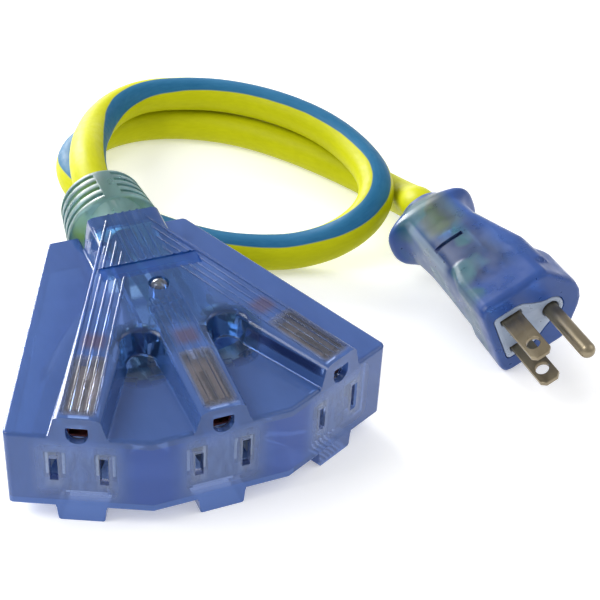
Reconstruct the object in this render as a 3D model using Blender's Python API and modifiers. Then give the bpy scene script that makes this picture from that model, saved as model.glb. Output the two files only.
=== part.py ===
"""Three-outlet extension cord: a fan-shaped moulded block, a heavy round cord and a moulded grip plug.

Frame: metres, +Z up. The block stands on z = 0 with its outlets facing -Y, its width along X and its cord
leaving at +Y. The origin is under the middle of the block and its strain relief. The block is laid out on a
fan: three outlet axes meet at the apex, which lies on the Y axis. The block is modelled about the apex and
then moved to its place.
"""
import math

import bmesh
import bpy
import numpy as np
from mathutils import Euler, Matrix, Vector

MM = 0.001

# Fan layout
FAN_RADIUS = 82.8 * MM          # apex to each outlet face
FAN_ANGLE = math.radians(25.3)  # between neighbouring outlet axes
APEX_Y = 28.9 * MM              # apex of the fan on the Y axis
OUTLETS = (("left", -1), ("centre", 0), ("right", 1))

# Block body: heights are from the resting surface, and plan distances from the apex
SLAB_BOTTOM = 4.4 * MM
SLAB_TOP = 28.5 * MM
WING_REAR_Y = 8.0 * MM          # rear edge of the two flat wings beside the neck
WING_REAR_HALF = 20.7 * MM
SLAB_BEVEL = 1.2 * MM
RIB_HALF = 5.9 * MM             # half width of a rib's crest
RIB_FLARE = 1.25 * MM           # extra half width at a rib's foot
RIB_SETBACK = 0.02 * MM         # ribs end this much behind the outlet faces
RIB_TOP_REAR = 39.0 * MM        # crest height at the neck and at the outlet faces
RIB_TOP_FRONT = 34.3 * MM
NECK_HALF = 10.4 * MM
NECK_REAR_Y = 1.0 * MM
NECK_FRONT_Y = -12.0 * MM
POCKET_RADIUS = 5.6 * MM        # rounded end of the valley between two ribs
POCKET_CENTRE = Vector((12.0 * MM, -53.6 * MM))

# Hollows in the block
FRONT_WALL = 2.3 * MM
CHAMBER_BOTTOM = 7.7 * MM
CHAMBER_TOP = 25.5 * MM
CHAMBER_RADIUS = 59.0 * MM
CHAMBER_ANGLE = math.radians(39.0)
CHAMBER_NECK_Y = -10.0 * MM
CROWN_TOP = 31.0 * MM           # taller middle of the chamber, under the ribs' common root
CROWN_HALF = 8.3 * MM
CROWN_FRONT_Y = -48.2 * MM
NOTCH_HALF = 11.2 * MM          # half width of the notch that takes the strain relief's tongue
CUT_MARGIN = 1.0 * MM           # how far a cutting tool runs past the face it opens
FAR = 120.0 * MM                # well outside the block

# Outlet geometry: standard 15 A, 125 V grounding receptacle
SLOT_Z = 17.45 * MM
SLOT_PITCH_HALF = 6.35 * MM
LINE_SIDE = -1                  # with the ground opening on top, the line slot is on the left
GROUND_RISE = 11.9 * MM         # ground opening above the slots, and ground pin beside the blades
SLOT_WIDTH = 2.2 * MM
LINE_SLOT_HEIGHT = 7.2 * MM
NEUTRAL_SLOT_HEIGHT = 8.8 * MM
GROUND_HOLE = 5.6 * MM

# Outlet inserts and contacts
GAP = 0.35 * MM                 # between any two touching pieces
INSERT_DEPTH = 21.5 * MM
INSERT_HALF = 11.2 * MM
INSERT_BOTTOM = 9.0 * MM
INSERT_TOP = 25.6 * MM
INSERT_CROWN_HALF = 4.5 * MM
INSERT_CROWN_TOP = 33.0 * MM
CROWN_POCKET_REAR_Y = -38.0 * MM
CHANNEL_HALF_HEIGHT = 4.4 * MM
CONTACT_SHEET = 0.7 * MM
CONTACT_SETBACK = 1.0 * MM      # contacts start this much behind the front wall
CONTACT_HEIGHT = 7.0 * MM
CONTACT_LENGTH = 15.0 * MM
CONTACT_PINCH = 4.0 * MM        # from a contact's mouth to its narrowest place
CONTACT_MOUTH_HALF = 1.75 * MM
CONTACT_PINCH_HALF = 1.15 * MM
CONTACT_ROOT_HALF = 1.5 * MM
GROUND_INNER_HALF = 2.55 * MM
GROUND_CHANNEL_DROP = 0.4 * MM
GROUND_CONTACT_LENGTH = 18.0 * MM
GROUND_END_WALL = 1.2 * MM
GROUND_SLIT_HALF = 0.9 * MM
GROUND_SLIT_END = 5.0 * MM      # the slit stops this far from the contact's rear
GROUND_TAIL_HALF = 2.0 * MM
GROUND_TAIL_DROP = 0.35 * MM
BUS_SHEET = 0.8 * MM
LINE_BUS_RADII = (50.0 * MM, 56.0 * MM)
GROUND_BUS_RADII = (40.0 * MM, 45.0 * MM)
LINE_STEM_X = 7.2 * MM
STEM_HALF = 1.6 * MM
LINE_STEM_END = 40.5 * MM
GROUND_STEM_END = 35.5 * MM
BUS_HALF_SPAN = FAN_ANGLE + math.radians(3.5)

# Conductors, crimps and pilot lamp
WIRE_DIAMETER = 3.6 * MM
WIRE_SPREAD = 2.45 * MM         # conductors' distance from the cord's axis
CRIMP_LENGTH = 7.0 * MM
CRIMP_OUTER = 5.2 * MM
CRIMP_GRIP = 1.5 * MM           # a conductor starts this far inside its crimp
LAMP_Y = -32.0 * MM
LAMP_DIAMETER = 5.0 * MM
LAMP_PROUD = 1.0 * MM
LAMP_SEAT = 1.2 * MM            # lamp's base below the crown's ceiling
LAMP_PIN_HALF = 1.3 * MM
LEAD_DIAMETER = 0.6 * MM
LEAD_TURN = Vector((4.6 * MM, -5.0 * MM, -2.2 * MM))  # a bend in the leads, from under the lamp
LEAD_DROP = 3.0 * MM
LEAD_BEHIND_STEM = 6.5 * MM
RESISTOR_DIAMETER = 2.4 * MM
RESISTOR_HEIGHTS = (4.0 * MM, 10.0 * MM)  # above the line bar

# Strain relief on the block
RELIEF_BASE_Z = 24.6 * MM
RELIEF_END_Z = 28.1 * MM
RELIEF_END_Y = 25.0 * MM
RELIEF_BASE = (14.4 * MM, 14.0 * MM)
RELIEF_END = (12.7 * MM, 11.8 * MM)
RELIEF_TONGUE_HALF = 13.6 * MM
RELIEF_BORE = 9.4 * MM
RELIEF_SLOTS = 4
RELIEF_FIRST_SLOT = 3.2 * MM    # behind the wings' rear edge
RELIEF_SLOT_PITCH = 3.4 * MM
RELIEF_SLOT_WIDTH = 1.4 * MM
RELIEF_SLOT_DEPTH = 2.2 * MM
RELIEF_SPINE_HALF = 2.6 * MM    # uncut material along the top and the bottom

# Cord: round jacket over three 12 gauge conductors
CORD_DIAMETER = 11.4 * MM
CORD_BEVEL_RESOLUTION = 4
CORD_SAMPLES = 78

# Route of the cord's centre line from the strain relief to the plug, from the apex, in millimetres
CORD_ROUTE = (
    (0.0, 25.35, 28.1), (0.0, 31.0, 28.4), (0.9, 39.0, 28.8), (3.2, 49.0, 28.0), (7.2, 61.5, 25.0),
    (12.0, 74.0, 21.0), (18.6, 86.0, 18.4), (27.5, 94.5, 17.5), (38.0, 98.0, 17.4), (50.0, 96.0, 17.4),
    (62.0, 91.0, 17.4),
    (72.5, 83.0, 17.4), (81.0, 73.0, 17.4), (87.5, 61.5, 17.4), (91.3, 49.0, 17.5), (92.6, 36.0, 17.7),
    (91.5, 24.0, 17.8), (87.5, 14.0, 16.8), (80.0, 7.8, 13.8), (70.0, 6.4, 9.8), (59.0, 8.8, 6.7),
    (48.0, 12.6, 5.9), (37.0, 18.3, 5.8), (26.5, 27.5, 5.8), (17.0, 39.0, 5.8), (9.5, 51.5, 5.8),
    (5.4, 65.0, 5.8), (5.6, 78.0, 5.8), (11.0, 89.3, 5.8), (21.0, 96.4, 5.8), (33.0, 98.8, 5.8),
    (46.0, 96.8, 5.8), (58.5, 91.2, 5.8), (70.0, 82.3, 5.8), (80.0, 70.6, 5.8), (88.5, 57.5, 5.9),
    (96.0, 43.5, 6.0), (100.6, 29.5, 7.4), (100.4, 15.0, 12.6),
)

# Plug: local X runs toward the blade tips, local Y from one blade to the other, local Z toward the ground pin
PLUG_FACE = Vector((97.5 * MM, -60.5 * MM, 16.15 * MM))
PLUG_TURN = Euler((math.radians(-65.0), math.radians(3.4), math.radians(-86.8)), "XYZ")
PLUG_REAR = -55.0 * MM
PLUG_AXIS_Z = 2.4 * MM
PLUG_STRAIGHT = 6.0 * MM        # the cord enters the plug straight along its axis
BLADE_THICK = 1.52 * MM
BLADE_WIDE = 6.35 * MM
BLADE_LONG = 16.9 * MM
BLADE_CORNER = 1.3 * MM
BLADE_HOLE = 3.96 * MM
BLADE_HOLE_X = 11.7 * MM
BLADE_TAIL = -16.0 * MM
PIN_DIAMETER = 4.75 * MM
PIN_LONG = 20.9 * MM
PLUG_BORE = 9.4 * MM
CARRIER_DEPTH = 13.0 * MM
CARRIER_HALF = 9.4 * MM
CARRIER_LOW = -5.2 * MM
CARRIER_HIGH = 5.4 * MM
CARRIER_TOWER_HALF = 4.4 * MM
CARRIER_TOWER_RISE = 4.2 * MM   # carrier's top above the ground pin's axis

# Grip of the plug, in millimetres: x, half width, lowest and highest z, squareness
GRIP_SECTIONS = (
    (-55.0, 7.6, -4.6, 9.2, 2.4), (-53.6, 9.4, -6.8, 11.8, 2.6), (-50.5, 10.6, -9.4, 14.2, 3.0),
    (-47.0, 11.2, -10.2, 14.4, 3.4), (-44.0, 11.3, -8.4, 12.4, 3.6), (-40.0, 11.6, -7.6, 12.6, 4.0),
    (-30.0, 12.4, -7.6, 15.2, 4.4), (-20.0, 13.4, -7.7, 18.0, 4.6), (-8.0, 14.2, -7.8, 18.6, 4.8),
)
# Flange at the front: x in millimetres, and the share of its full outline
FLANGE_SECTIONS = ((-22.0, 0.80), (-15.0, 0.985), (-2.0, 1.0), (-0.5, 0.985), (0.0, 0.94))
# Half of the flange's outline, in millimetres: y and z
FLANGE_HALF = (
    (0.0, -8.0), (12.8, -8.0), (14.6, -7.2), (15.3, -5.4), (15.3, 12.6), (14.6, 14.4), (5.6, 20.8),
    (3.0, 22.0), (0.0, 22.4),
)
FLANGE_MIDDLE_Z = 4.0 * MM
# Room inside the plug behind the carrier, in millimetres: rear x, lowest and highest y, z
PLUG_HOLLOWS = (
    ("tail_room", -26.5, (-9.8, 9.8), (-4.2, 5.6)), ("wire_room", -37.0, (-9.0, 9.0), (-2.2, 6.6)),
    ("ground_room", -26.5, (-3.4, 3.4), (2.0, 15.0)), ("ground_duct", -36.0, (-3.2, 3.2), (2.0, 13.4)),
)
PLUG_BORE_FRONT = -20.0 * MM

part_collection = bpy.data.collections.new("extension_cord")
cutter_collection = bpy.data.collections.new("cutters")


# ---------------------------------------------------------------- helpers

def clear_scene():
    for old in list(bpy.data.objects):
        bpy.data.objects.remove(old, do_unlink=True)
    for group in (part_collection, cutter_collection):
        bpy.context.scene.collection.children.link(group)


def material(name, colour, roughness, metallic=0.0):
    made = bpy.data.materials.new(name)
    made.use_nodes = True
    shader = made.node_tree.nodes["Principled BSDF"]
    shader.inputs["Base Color"].default_value = (*colour, 1.0)
    shader.inputs["Roughness"].default_value = roughness
    shader.inputs["Metallic"].default_value = metallic
    return made


def object_from_bmesh(name, bm):
    bmesh.ops.recalc_face_normals(bm, faces=bm.faces)
    mesh = bpy.data.meshes.new(name)
    bm.to_mesh(mesh)
    bm.free()
    made = bpy.data.objects.new(name, mesh)
    cutter_collection.objects.link(made)
    return made


def box(name, low, high):
    bm = bmesh.new()
    bmesh.ops.create_cube(bm, size=1.0)
    low, high = Vector(low), Vector(high)
    for vert in bm.verts:
        vert.co = Vector((lo + (hi - lo) * (c + 0.5) for lo, hi, c in zip(low, high, vert.co)))
    return object_from_bmesh(name, bm)


def cylinder(name, diameter, start, end, sides=24):
    """A round bar between two points."""
    start, end = Vector(start), Vector(end)
    along = end - start
    turn = along.to_track_quat("Z", "Y").to_matrix().to_4x4()
    bm = bmesh.new()
    bmesh.ops.create_cone(bm, cap_ends=True, segments=sides, radius1=diameter / 2, radius2=diameter / 2,
                          depth=along.length, matrix=Matrix.Translation((start + end) / 2) @ turn)
    return object_from_bmesh(name, bm)


def mesh_from_curve(name, curve):
    """The curve's evaluated body as a closed mesh object; the curve itself goes."""
    holder = bpy.data.objects.new(name + "_curve", curve)
    bpy.context.scene.collection.objects.link(holder)
    graph = bpy.context.evaluated_depsgraph_get()
    mesh = bpy.data.meshes.new_from_object(holder.evaluated_get(graph))
    bpy.data.objects.remove(holder, do_unlink=True)
    bm = bmesh.new()
    bm.from_mesh(mesh)
    bpy.data.meshes.remove(mesh)
    bmesh.ops.remove_doubles(bm, verts=bm.verts, dist=0.00001)
    return object_from_bmesh(name, bm)


def plate(name, loops, low, high):
    """Flat outlines, holes among them, standing between two heights."""
    curve = bpy.data.curves.new(name, "CURVE")
    curve.dimensions = "2D"
    curve.fill_mode = "BOTH"
    curve.extrude = (high - low) / 2
    for loop in loops:
        spline = curve.splines.new("POLY")
        spline.points.add(len(loop) - 1)
        for point, (x, y) in zip(spline.points, loop):
            point.co = (x, y, 0.0, 1.0)
        spline.use_cyclic_u = True
    made = mesh_from_curve(name, curve)
    made.data.transform(Matrix.Translation((0, 0, (low + high) / 2)))
    return made


def wire(name, points, diameter, resolution=2):
    curve = bpy.data.curves.new(name, "CURVE")
    curve.dimensions = "3D"
    curve.bevel_depth = diameter / 2
    curve.bevel_resolution = resolution
    curve.use_fill_caps = True
    spline = curve.splines.new("POLY")
    spline.points.add(len(points) - 1)
    for point, place in zip(spline.points, points):
        point.co = (*place, 1.0)
    return mesh_from_curve(name, curve)


def loft(name, sections):
    """A closed body through sections that have the same number of points."""
    bm = bmesh.new()
    rings = [[bm.verts.new(point) for point in section] for section in sections]
    count = len(rings[0])
    for ring, following in zip(rings[:-1], rings[1:]):
        for i in range(count):
            j = (i + 1) % count
            bm.faces.new((ring[i], ring[j], following[j], following[i]))
    bm.faces.new(rings[0])
    bm.faces.new(rings[-1])
    return object_from_bmesh(name, bm)


def boolean(target, cutter, operation="DIFFERENCE"):
    """Applies one exact Boolean and removes the tool."""
    modifier = target.modifiers.new(operation.lower(), "BOOLEAN")
    modifier.object = cutter
    modifier.operation = operation
    modifier.solver = "EXACT"
    bpy.context.view_layer.update()
    graph = bpy.context.evaluated_depsgraph_get()
    result = bpy.data.meshes.new_from_object(target.evaluated_get(graph))
    target.modifiers.remove(modifier)
    old = target.data
    target.data = result
    bpy.data.meshes.remove(old)
    bpy.data.objects.remove(cutter, do_unlink=True)
    return target


def bevel(target, width, segments, angle=math.radians(40)):
    modifier = target.modifiers.new("bevel", "BEVEL")
    modifier.width = width
    modifier.segments = segments
    modifier.limit_method = "ANGLE"
    modifier.angle_limit = angle
    bpy.context.view_layer.update()
    graph = bpy.context.evaluated_depsgraph_get()
    result = bpy.data.meshes.new_from_object(target.evaluated_get(graph))
    target.modifiers.remove(modifier)
    target.data = result
    return target


def finish(target, name, look, smooth=False, parent=None):
    """Names a piece, gives it its material and moves it into the part's collection."""
    target.name = name
    target.data.name = name
    target.data.materials.clear()
    target.data.materials.append(look)
    if smooth:
        target.data.shade_smooth()
        target.data.set_sharp_from_angle(angle=math.radians(40))
    cutter_collection.objects.unlink(target)
    part_collection.objects.link(target)
    if parent is not None:
        target.parent = parent
    return target


def smooth_route(points, samples):
    """Evenly spaced points on a Catmull-Rom curve through the given ones."""
    padded = [points[0] * 2 - points[1], *points, points[-1] * 2 - points[-2]]
    dense = []
    steps = 16
    for a, b, c, d in zip(padded[:-3], padded[1:-2], padded[2:-1], padded[3:]):
        for step in range(steps):
            t = step / steps
            dense.append(0.5 * (2 * b + (c - a) * t + (2 * a - 5 * b + 4 * c - d) * t ** 2
                                + (3 * b - a - 3 * c + d) * t ** 3))
    dense.append(points[-1])
    table = np.array([tuple(p) for p in dense])
    run = np.concatenate(([0.0], np.cumsum(np.linalg.norm(np.diff(table, axis=0), axis=1))))
    even = np.linspace(0.0, run[-1], samples)
    return [Vector(p) for p in np.stack([np.interp(even, run, table[:, i]) for i in range(3)], axis=1)]


# ---------------------------------------------------------------- layout in plan, from the apex

def polar(radius, angle):
    """A plan point: angle 0 looks along -Y, positive toward +X."""
    return Vector((radius * math.sin(angle), -radius * math.cos(angle)))


def rib_point(side, distance, offset):
    """A plan point on an outlet axis: distance from the apex, offset toward +X."""
    angle = side * FAN_ANGLE
    return polar(distance, angle) + Vector((offset * math.cos(angle), offset * math.sin(angle)))


def outlet_frame(side):
    """Local Y runs back from the outlet face toward the apex, with the apex at zero."""
    return Matrix.Translation((0, APEX_Y, 0)) @ Matrix.Rotation(side * FAN_ANGLE, 4, "Z")


def from_apex(target):
    target.data.transform(Matrix.Translation((0, APEX_Y, 0)))
    return target


def crest_height(y):
    """Height of the upper ribs' crest at a plan distance from the apex."""
    share = (NECK_REAR_Y - y) / (NECK_REAR_Y + FAN_RADIUS)
    return RIB_TOP_REAR + (RIB_TOP_FRONT - RIB_TOP_REAR) * share


def slab_outline():
    corner = FAN_RADIUS / math.cos(FAN_ANGLE / 2)
    right = [polar(corner, FAN_ANGLE * 0.5), polar(corner, FAN_ANGLE * 1.5),
             Vector((WING_REAR_HALF, WING_REAR_Y)), Vector((NOTCH_HALF, WING_REAR_Y)),
             Vector((NOTCH_HALF, NECK_REAR_Y))]
    left = [Vector((-p.x, p.y)) for p in reversed(right)]
    return right + left


def rib_outline(front):
    """Common root of the three ribs, the ribs themselves and the rounded pockets between them."""
    half = [Vector((NECK_HALF, NECK_REAR_Y + 3 * MM)), Vector((NECK_HALF, NECK_FRONT_Y)),
            rib_point(1, front, RIB_HALF), rib_point(1, front, -RIB_HALF)]
    start = math.atan2(-math.sin(FAN_ANGLE), math.cos(FAN_ANGLE)) + math.radians(22)
    for step in range(7):
        angle = start + (math.pi - start) * step / 6
        half.append(POCKET_CENTRE + Vector((math.cos(angle), math.sin(angle))) * POCKET_RADIUS)
    half.append(Vector((RIB_HALF, -front)))
    return half + [Vector((-p.x, p.y)) for p in reversed(half)]


def offset_outline(outline, distance):
    """The outline pushed outward by a distance at every edge."""
    count = len(outline)
    area = sum(a.x * b.y - b.x * a.y for a, b in zip(outline, outline[1:] + outline[:1]))
    sign = 1.0 if area > 0 else -1.0
    moved = []
    for i in range(count):
        before = (outline[i] - outline[i - 1]).normalized()
        after = (outline[(i + 1) % count] - outline[i]).normalized()
        normal_a = Vector((before.y, -before.x)) * sign
        normal_b = Vector((after.y, -after.x)) * sign
        middle = (normal_a + normal_b).normalized()
        moved.append(outline[i] + middle * distance / max(0.5, middle.dot(normal_a)))
    return moved


def ring(centre, half_x, half_z, y, sides=24):
    """An ellipse standing across the Y axis."""
    return [(centre[0] + half_x * math.cos(2 * math.pi * i / sides), y,
             centre[1] + half_z * math.sin(2 * math.pi * i / sides)) for i in range(sides)]


# ---------------------------------------------------------------- block

def make_block(look):
    """The moulded body: a slab with wings, upper and lower ribs, and the hollows for what is inside."""
    body = plate("block", [slab_outline()], SLAB_BOTTOM, SLAB_TOP)
    bevel(body, SLAB_BEVEL, 2)
    crest = rib_outline(FAN_RADIUS + 3 * CUT_MARGIN)
    foot = offset_outline(crest, RIB_FLARE)
    upper = loft("upper_ribs", [[(p.x, p.y, SLAB_TOP - CUT_MARGIN) for p in foot],
                                [(p.x, p.y, crest_height(p.y)) for p in crest]])
    lower = loft("lower_ribs", [[(p.x, p.y, 0.0) for p in crest],
                                [(p.x, p.y, SLAB_BOTTOM + CUT_MARGIN) for p in foot]])
    for ribs in (upper, lower):
        trim_ribs(ribs)
        boolean(body, ribs, "UNION")
    cut_chamber(body)
    for _, side in OUTLETS:
        cut_outlet(body, side)
    boolean(body, cylinder("lamp_hole", LAMP_DIAMETER + 2 * GAP, (0, LAMP_Y, CROWN_TOP - CUT_MARGIN),
                           (0, LAMP_Y, crest_height(LAMP_Y) + CUT_MARGIN)))
    from_apex(body)
    return finish(body, "block_overmould", look)


def trim_ribs(ribs):
    """Ends the ribs at the three outlet faces, and their root at the neck, a hair inside the slab's faces."""
    front = -FAN_RADIUS + RIB_SETBACK
    for _, side in OUTLETS:
        tool = box("trim", (-FAR, front - FAR, -FAR), (FAR, front, FAR))
        tool.data.transform(Matrix.Rotation(side * FAN_ANGLE, 4, "Z"))
        boolean(ribs, tool)
    boolean(ribs, box("trim", (-FAR, NECK_REAR_Y - RIB_SETBACK, -FAR), (FAR, FAR, FAR)))


def cut_chamber(body):
    """A fan-shaped room for the bars and crimps, open at the neck, with a taller middle for the lamp."""
    rear = NECK_REAR_Y + CUT_MARGIN
    arc = [polar(CHAMBER_RADIUS, CHAMBER_ANGLE * (i / 4 - 1)) for i in range(9)]
    neck = [Vector((CROWN_HALF, CHAMBER_NECK_Y)), Vector((CROWN_HALF, rear)),
            Vector((-CROWN_HALF, rear)), Vector((-CROWN_HALF, CHAMBER_NECK_Y))]
    boolean(body, plate("chamber", [arc + neck], CHAMBER_BOTTOM, CHAMBER_TOP))
    boolean(body, box("crown", (-CROWN_HALF, CROWN_FRONT_Y, CHAMBER_TOP - CUT_MARGIN),
                      (CROWN_HALF, rear, CROWN_TOP)))


def cut_outlet(body, side):
    """The insert's seat and the three openings in front of it."""
    outside = -FAN_RADIUS - CUT_MARGIN
    inner_face = -FAN_RADIUS + FRONT_WALL
    behind = inner_face + CUT_MARGIN
    seat_rear = inner_face + INSERT_DEPTH + 2 * CUT_MARGIN
    tools = [
        box("pocket", (-INSERT_HALF - GAP, inner_face, INSERT_BOTTOM - GAP),
            (INSERT_HALF + GAP, seat_rear, INSERT_TOP + GAP)),
        box("crown_pocket", (-INSERT_CROWN_HALF - GAP, inner_face, SLOT_Z),
            (INSERT_CROWN_HALF + GAP, CROWN_POCKET_REAR_Y, INSERT_CROWN_TOP + GAP)),
        ground_opening("ground_hole", outside, behind),
    ]
    for side_of_ground, height in ((LINE_SIDE, LINE_SLOT_HEIGHT), (-LINE_SIDE, NEUTRAL_SLOT_HEIGHT)):
        middle = side_of_ground * SLOT_PITCH_HALF
        tools.append(box("slot", (middle - SLOT_WIDTH / 2, outside, SLOT_Z - height / 2),
                         (middle + SLOT_WIDTH / 2, behind, SLOT_Z + height / 2)))
    joined = tools[0]
    for tool in tools[1:]:
        boolean(joined, tool, "UNION")
    joined.data.transform(Matrix.Rotation(side * FAN_ANGLE, 4, "Z"))
    boolean(body, joined)


def ground_opening(name, start, end):
    """Round below and flat on top, as the ground opening of a grounding outlet is."""
    radius = GROUND_HOLE / 2
    arc = [Vector((radius * math.cos(a), radius * math.sin(a)))
           for a in (math.pi * (1 + i / 10) for i in range(11))]
    outline = [*arc, Vector((radius, radius * 0.8)), Vector((-radius, radius * 0.8))]
    made = plate(name, [outline], start, end)
    stand = Matrix(((1, 0, 0, 0), (0, 0, 1, 0), (0, 1, 0, SLOT_Z + GROUND_RISE), (0, 0, 0, 1)))
    made.data.transform(stand)
    bm = bmesh.new()
    bm.from_mesh(made.data)
    bmesh.ops.recalc_face_normals(bm, faces=bm.faces)
    bm.to_mesh(made.data)
    bm.free()
    return made


def make_insert(name, side, look):
    """A rigid socket body that holds one outlet's three contacts in through channels."""
    front = -FAN_RADIUS + FRONT_WALL + GAP
    rear = front + INSERT_DEPTH
    low = box("insert", (-INSERT_HALF, front, INSERT_BOTTOM), (INSERT_HALF, rear, INSERT_TOP))
    crown = box("crown", (-INSERT_CROWN_HALF, front, SLOT_Z), (INSERT_CROWN_HALF, rear, INSERT_CROWN_TOP))
    boolean(low, crown, "UNION")
    contact_half = CONTACT_MOUTH_HALF + CONTACT_SHEET + GAP
    for middle in (-SLOT_PITCH_HALF, SLOT_PITCH_HALF):
        channel = box("channel", (middle - contact_half, front - CUT_MARGIN, SLOT_Z - CHANNEL_HALF_HEIGHT),
                      (middle + contact_half, rear + CUT_MARGIN, SLOT_Z + CHANNEL_HALF_HEIGHT))
        boolean(low, channel)
    ground_half = GROUND_INNER_HALF + CONTACT_SHEET + GAP
    ground_z = SLOT_Z + GROUND_RISE
    ground_floor = ground_z - ground_half - GROUND_CHANNEL_DROP
    boolean(low, box("ground_channel", (-ground_half, front - CUT_MARGIN, ground_floor),
                     (ground_half, rear + CUT_MARGIN, ground_z + ground_half)))
    low.data.transform(outlet_frame(side))
    return finish(low, f"outlet_insert_{name}", look)


def fork_outline():
    """Plan of a blade contact: two sprung leaves that flare at the mouth and join at the back."""
    mouth = -FAN_RADIUS + FRONT_WALL + CONTACT_SETBACK
    pinch = mouth + CONTACT_PINCH
    root = mouth + CONTACT_LENGTH
    tail_end = -LINE_BUS_RADII[0] - CONTACT_SHEET
    thick = CONTACT_SHEET
    inner = [(CONTACT_MOUTH_HALF, mouth), (CONTACT_PINCH_HALF, pinch), (CONTACT_ROOT_HALF, root)]
    outer = [(x + thick, y) for x, y in inner[:2]] + [(inner[2][0] + thick, root + thick)]
    right = [*reversed(outer), *inner]
    left = [(-x, y) for x, y in reversed(right)]
    tail = [(-thick / 2, root + thick), (-thick / 2, tail_end), (thick / 2, tail_end),
            (thick / 2, root + thick)]
    return right + left + tail


def make_blade_contact(kind, name, side, look):
    sign = LINE_SIDE if kind == "line" else -LINE_SIDE
    made = plate("contact", [fork_outline()], SLOT_Z - CONTACT_HEIGHT / 2, SLOT_Z + CONTACT_HEIGHT / 2)
    made.data.transform(Matrix.Translation((sign * SLOT_PITCH_HALF, 0, 0)))
    made.data.transform(outlet_frame(side))
    return finish(made, f"{kind}_contact_{name}", look)


def make_ground_contact(name, side, look):
    """A square tube, slit along its top so that it grips the ground pin, with a tail strip behind."""
    front = -FAN_RADIUS + FRONT_WALL + CONTACT_SETBACK
    rear = front + GROUND_CONTACT_LENGTH
    outside = front - CUT_MARGIN
    half = GROUND_INNER_HALF
    middle = SLOT_Z + GROUND_RISE
    low = middle - half - CONTACT_SHEET
    high = middle + half + CONTACT_SHEET
    made = box("channel", (-half - CONTACT_SHEET, front, low), (half + CONTACT_SHEET, rear, high))
    boolean(made, box("inside", (-half, outside, middle - half),
                      (half, rear - GROUND_END_WALL, middle + half)))
    boolean(made, box("slit", (-GROUND_SLIT_HALF, outside, high - CUT_MARGIN),
                      (GROUND_SLIT_HALF, rear - GROUND_SLIT_END, high + CUT_MARGIN)))
    tail_low = low - GROUND_TAIL_DROP
    tail = box("tail", (-GROUND_TAIL_HALF, rear - 3 * CUT_MARGIN, tail_low),
               (GROUND_TAIL_HALF, -GROUND_BUS_RADII[0] - CONTACT_SHEET, tail_low + BUS_SHEET))
    boolean(made, tail, "UNION")
    made.data.transform(outlet_frame(side))
    return finish(made, f"ground_contact_{name}", look)


def bus_outline(radii, half_span, stem_x, stem_end, centre_x):
    """A curved strip that passes every outlet axis, with a stem back toward the cord."""
    steps = 10
    inner, outer = radii
    shift = math.asin(centre_x / outer)
    far = [polar(outer, shift + half_span * (2 * i / steps - 1)) for i in range(steps + 1)]
    near = [polar(inner, shift + half_span * (1 - 2 * i / steps)) for i in range(steps + 1)]
    near = [p for p in near if abs(p.x - stem_x) > STEM_HALF * 1.6]
    split = sum(1 for p in near if p.x > stem_x)
    root_y = -math.sqrt(inner ** 2 - stem_x ** 2)
    stem = [Vector((stem_x + STEM_HALF, root_y)), Vector((stem_x + STEM_HALF, -stem_end)),
            Vector((stem_x - STEM_HALF, -stem_end)), Vector((stem_x - STEM_HALF, root_y))]
    return far + near[:split] + stem + near[split:]


def make_buses(look):
    """The three bars that join the outlets' contacts, and the height of the middle of each."""
    contact_low = SLOT_Z - CONTACT_HEIGHT / 2
    contact_high = SLOT_Z + CONTACT_HEIGHT / 2
    ground_low = SLOT_Z + GROUND_RISE - GROUND_INNER_HALF - CONTACT_SHEET - GROUND_TAIL_DROP
    rows = (("line_bus", LINE_BUS_RADII, LINE_SIDE * LINE_STEM_X, LINE_STEM_END,
             LINE_SIDE * SLOT_PITCH_HALF, contact_low - GAP - BUS_SHEET),
            ("neutral_bus", LINE_BUS_RADII, -LINE_SIDE * LINE_STEM_X, LINE_STEM_END,
             -LINE_SIDE * SLOT_PITCH_HALF, contact_high + GAP),
            ("ground_bus", GROUND_BUS_RADII, 0.0, GROUND_STEM_END, 0.0, ground_low - GAP - BUS_SHEET))
    heights = {}
    for name, radii, stem_x, stem_end, centre_x, low in rows:
        outline = bus_outline(radii, BUS_HALF_SPAN, stem_x, stem_end, centre_x)
        made = plate(name, [outline], low, low + BUS_SHEET)
        finish(from_apex(made), name, look)
        heights[name] = low + BUS_SHEET / 2
    return heights


def relief_centre(y):
    """Centre height of the strain relief, which climbs a little toward its end."""
    share = (y - NECK_REAR_Y) / (RELIEF_END_Y - NECK_REAR_Y)
    return RELIEF_BASE_Z + (RELIEF_END_Z - RELIEF_BASE_Z) * share


def make_relief(look):
    """A tongue between the wings, a shoulder behind them and a taper that ends in a rounded lip."""
    start = NECK_REAR_Y + GAP
    shoulder = WING_REAR_Y + GAP
    tongue = (NOTCH_HALF - SLAB_BEVEL - GAP, RELIEF_TONGUE_HALF)
    lip = [tuple(half - inset * MM for half in RELIEF_END) for inset in (1.2, 3.0)]
    rows = [(start, tongue), (shoulder - 0.1 * MM, tongue), (shoulder, RELIEF_BASE),
            (RELIEF_END_Y - 2.5 * MM, RELIEF_END), (RELIEF_END_Y - 0.6 * MM, lip[0]),
            (RELIEF_END_Y, lip[1])]
    sections = [ring((0, relief_centre(y)), half_x, half_z, y) for y, (half_x, half_z) in rows]
    made = loft("relief", sections)
    ends = [(0, y, relief_centre(y)) for y in (start - CUT_MARGIN, RELIEF_END_Y + CUT_MARGIN)]
    boolean(made, cylinder("bore", RELIEF_BORE, *ends))
    cut_relief_slots(made)
    return finish(from_apex(made), "block_strain_relief", look)


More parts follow.
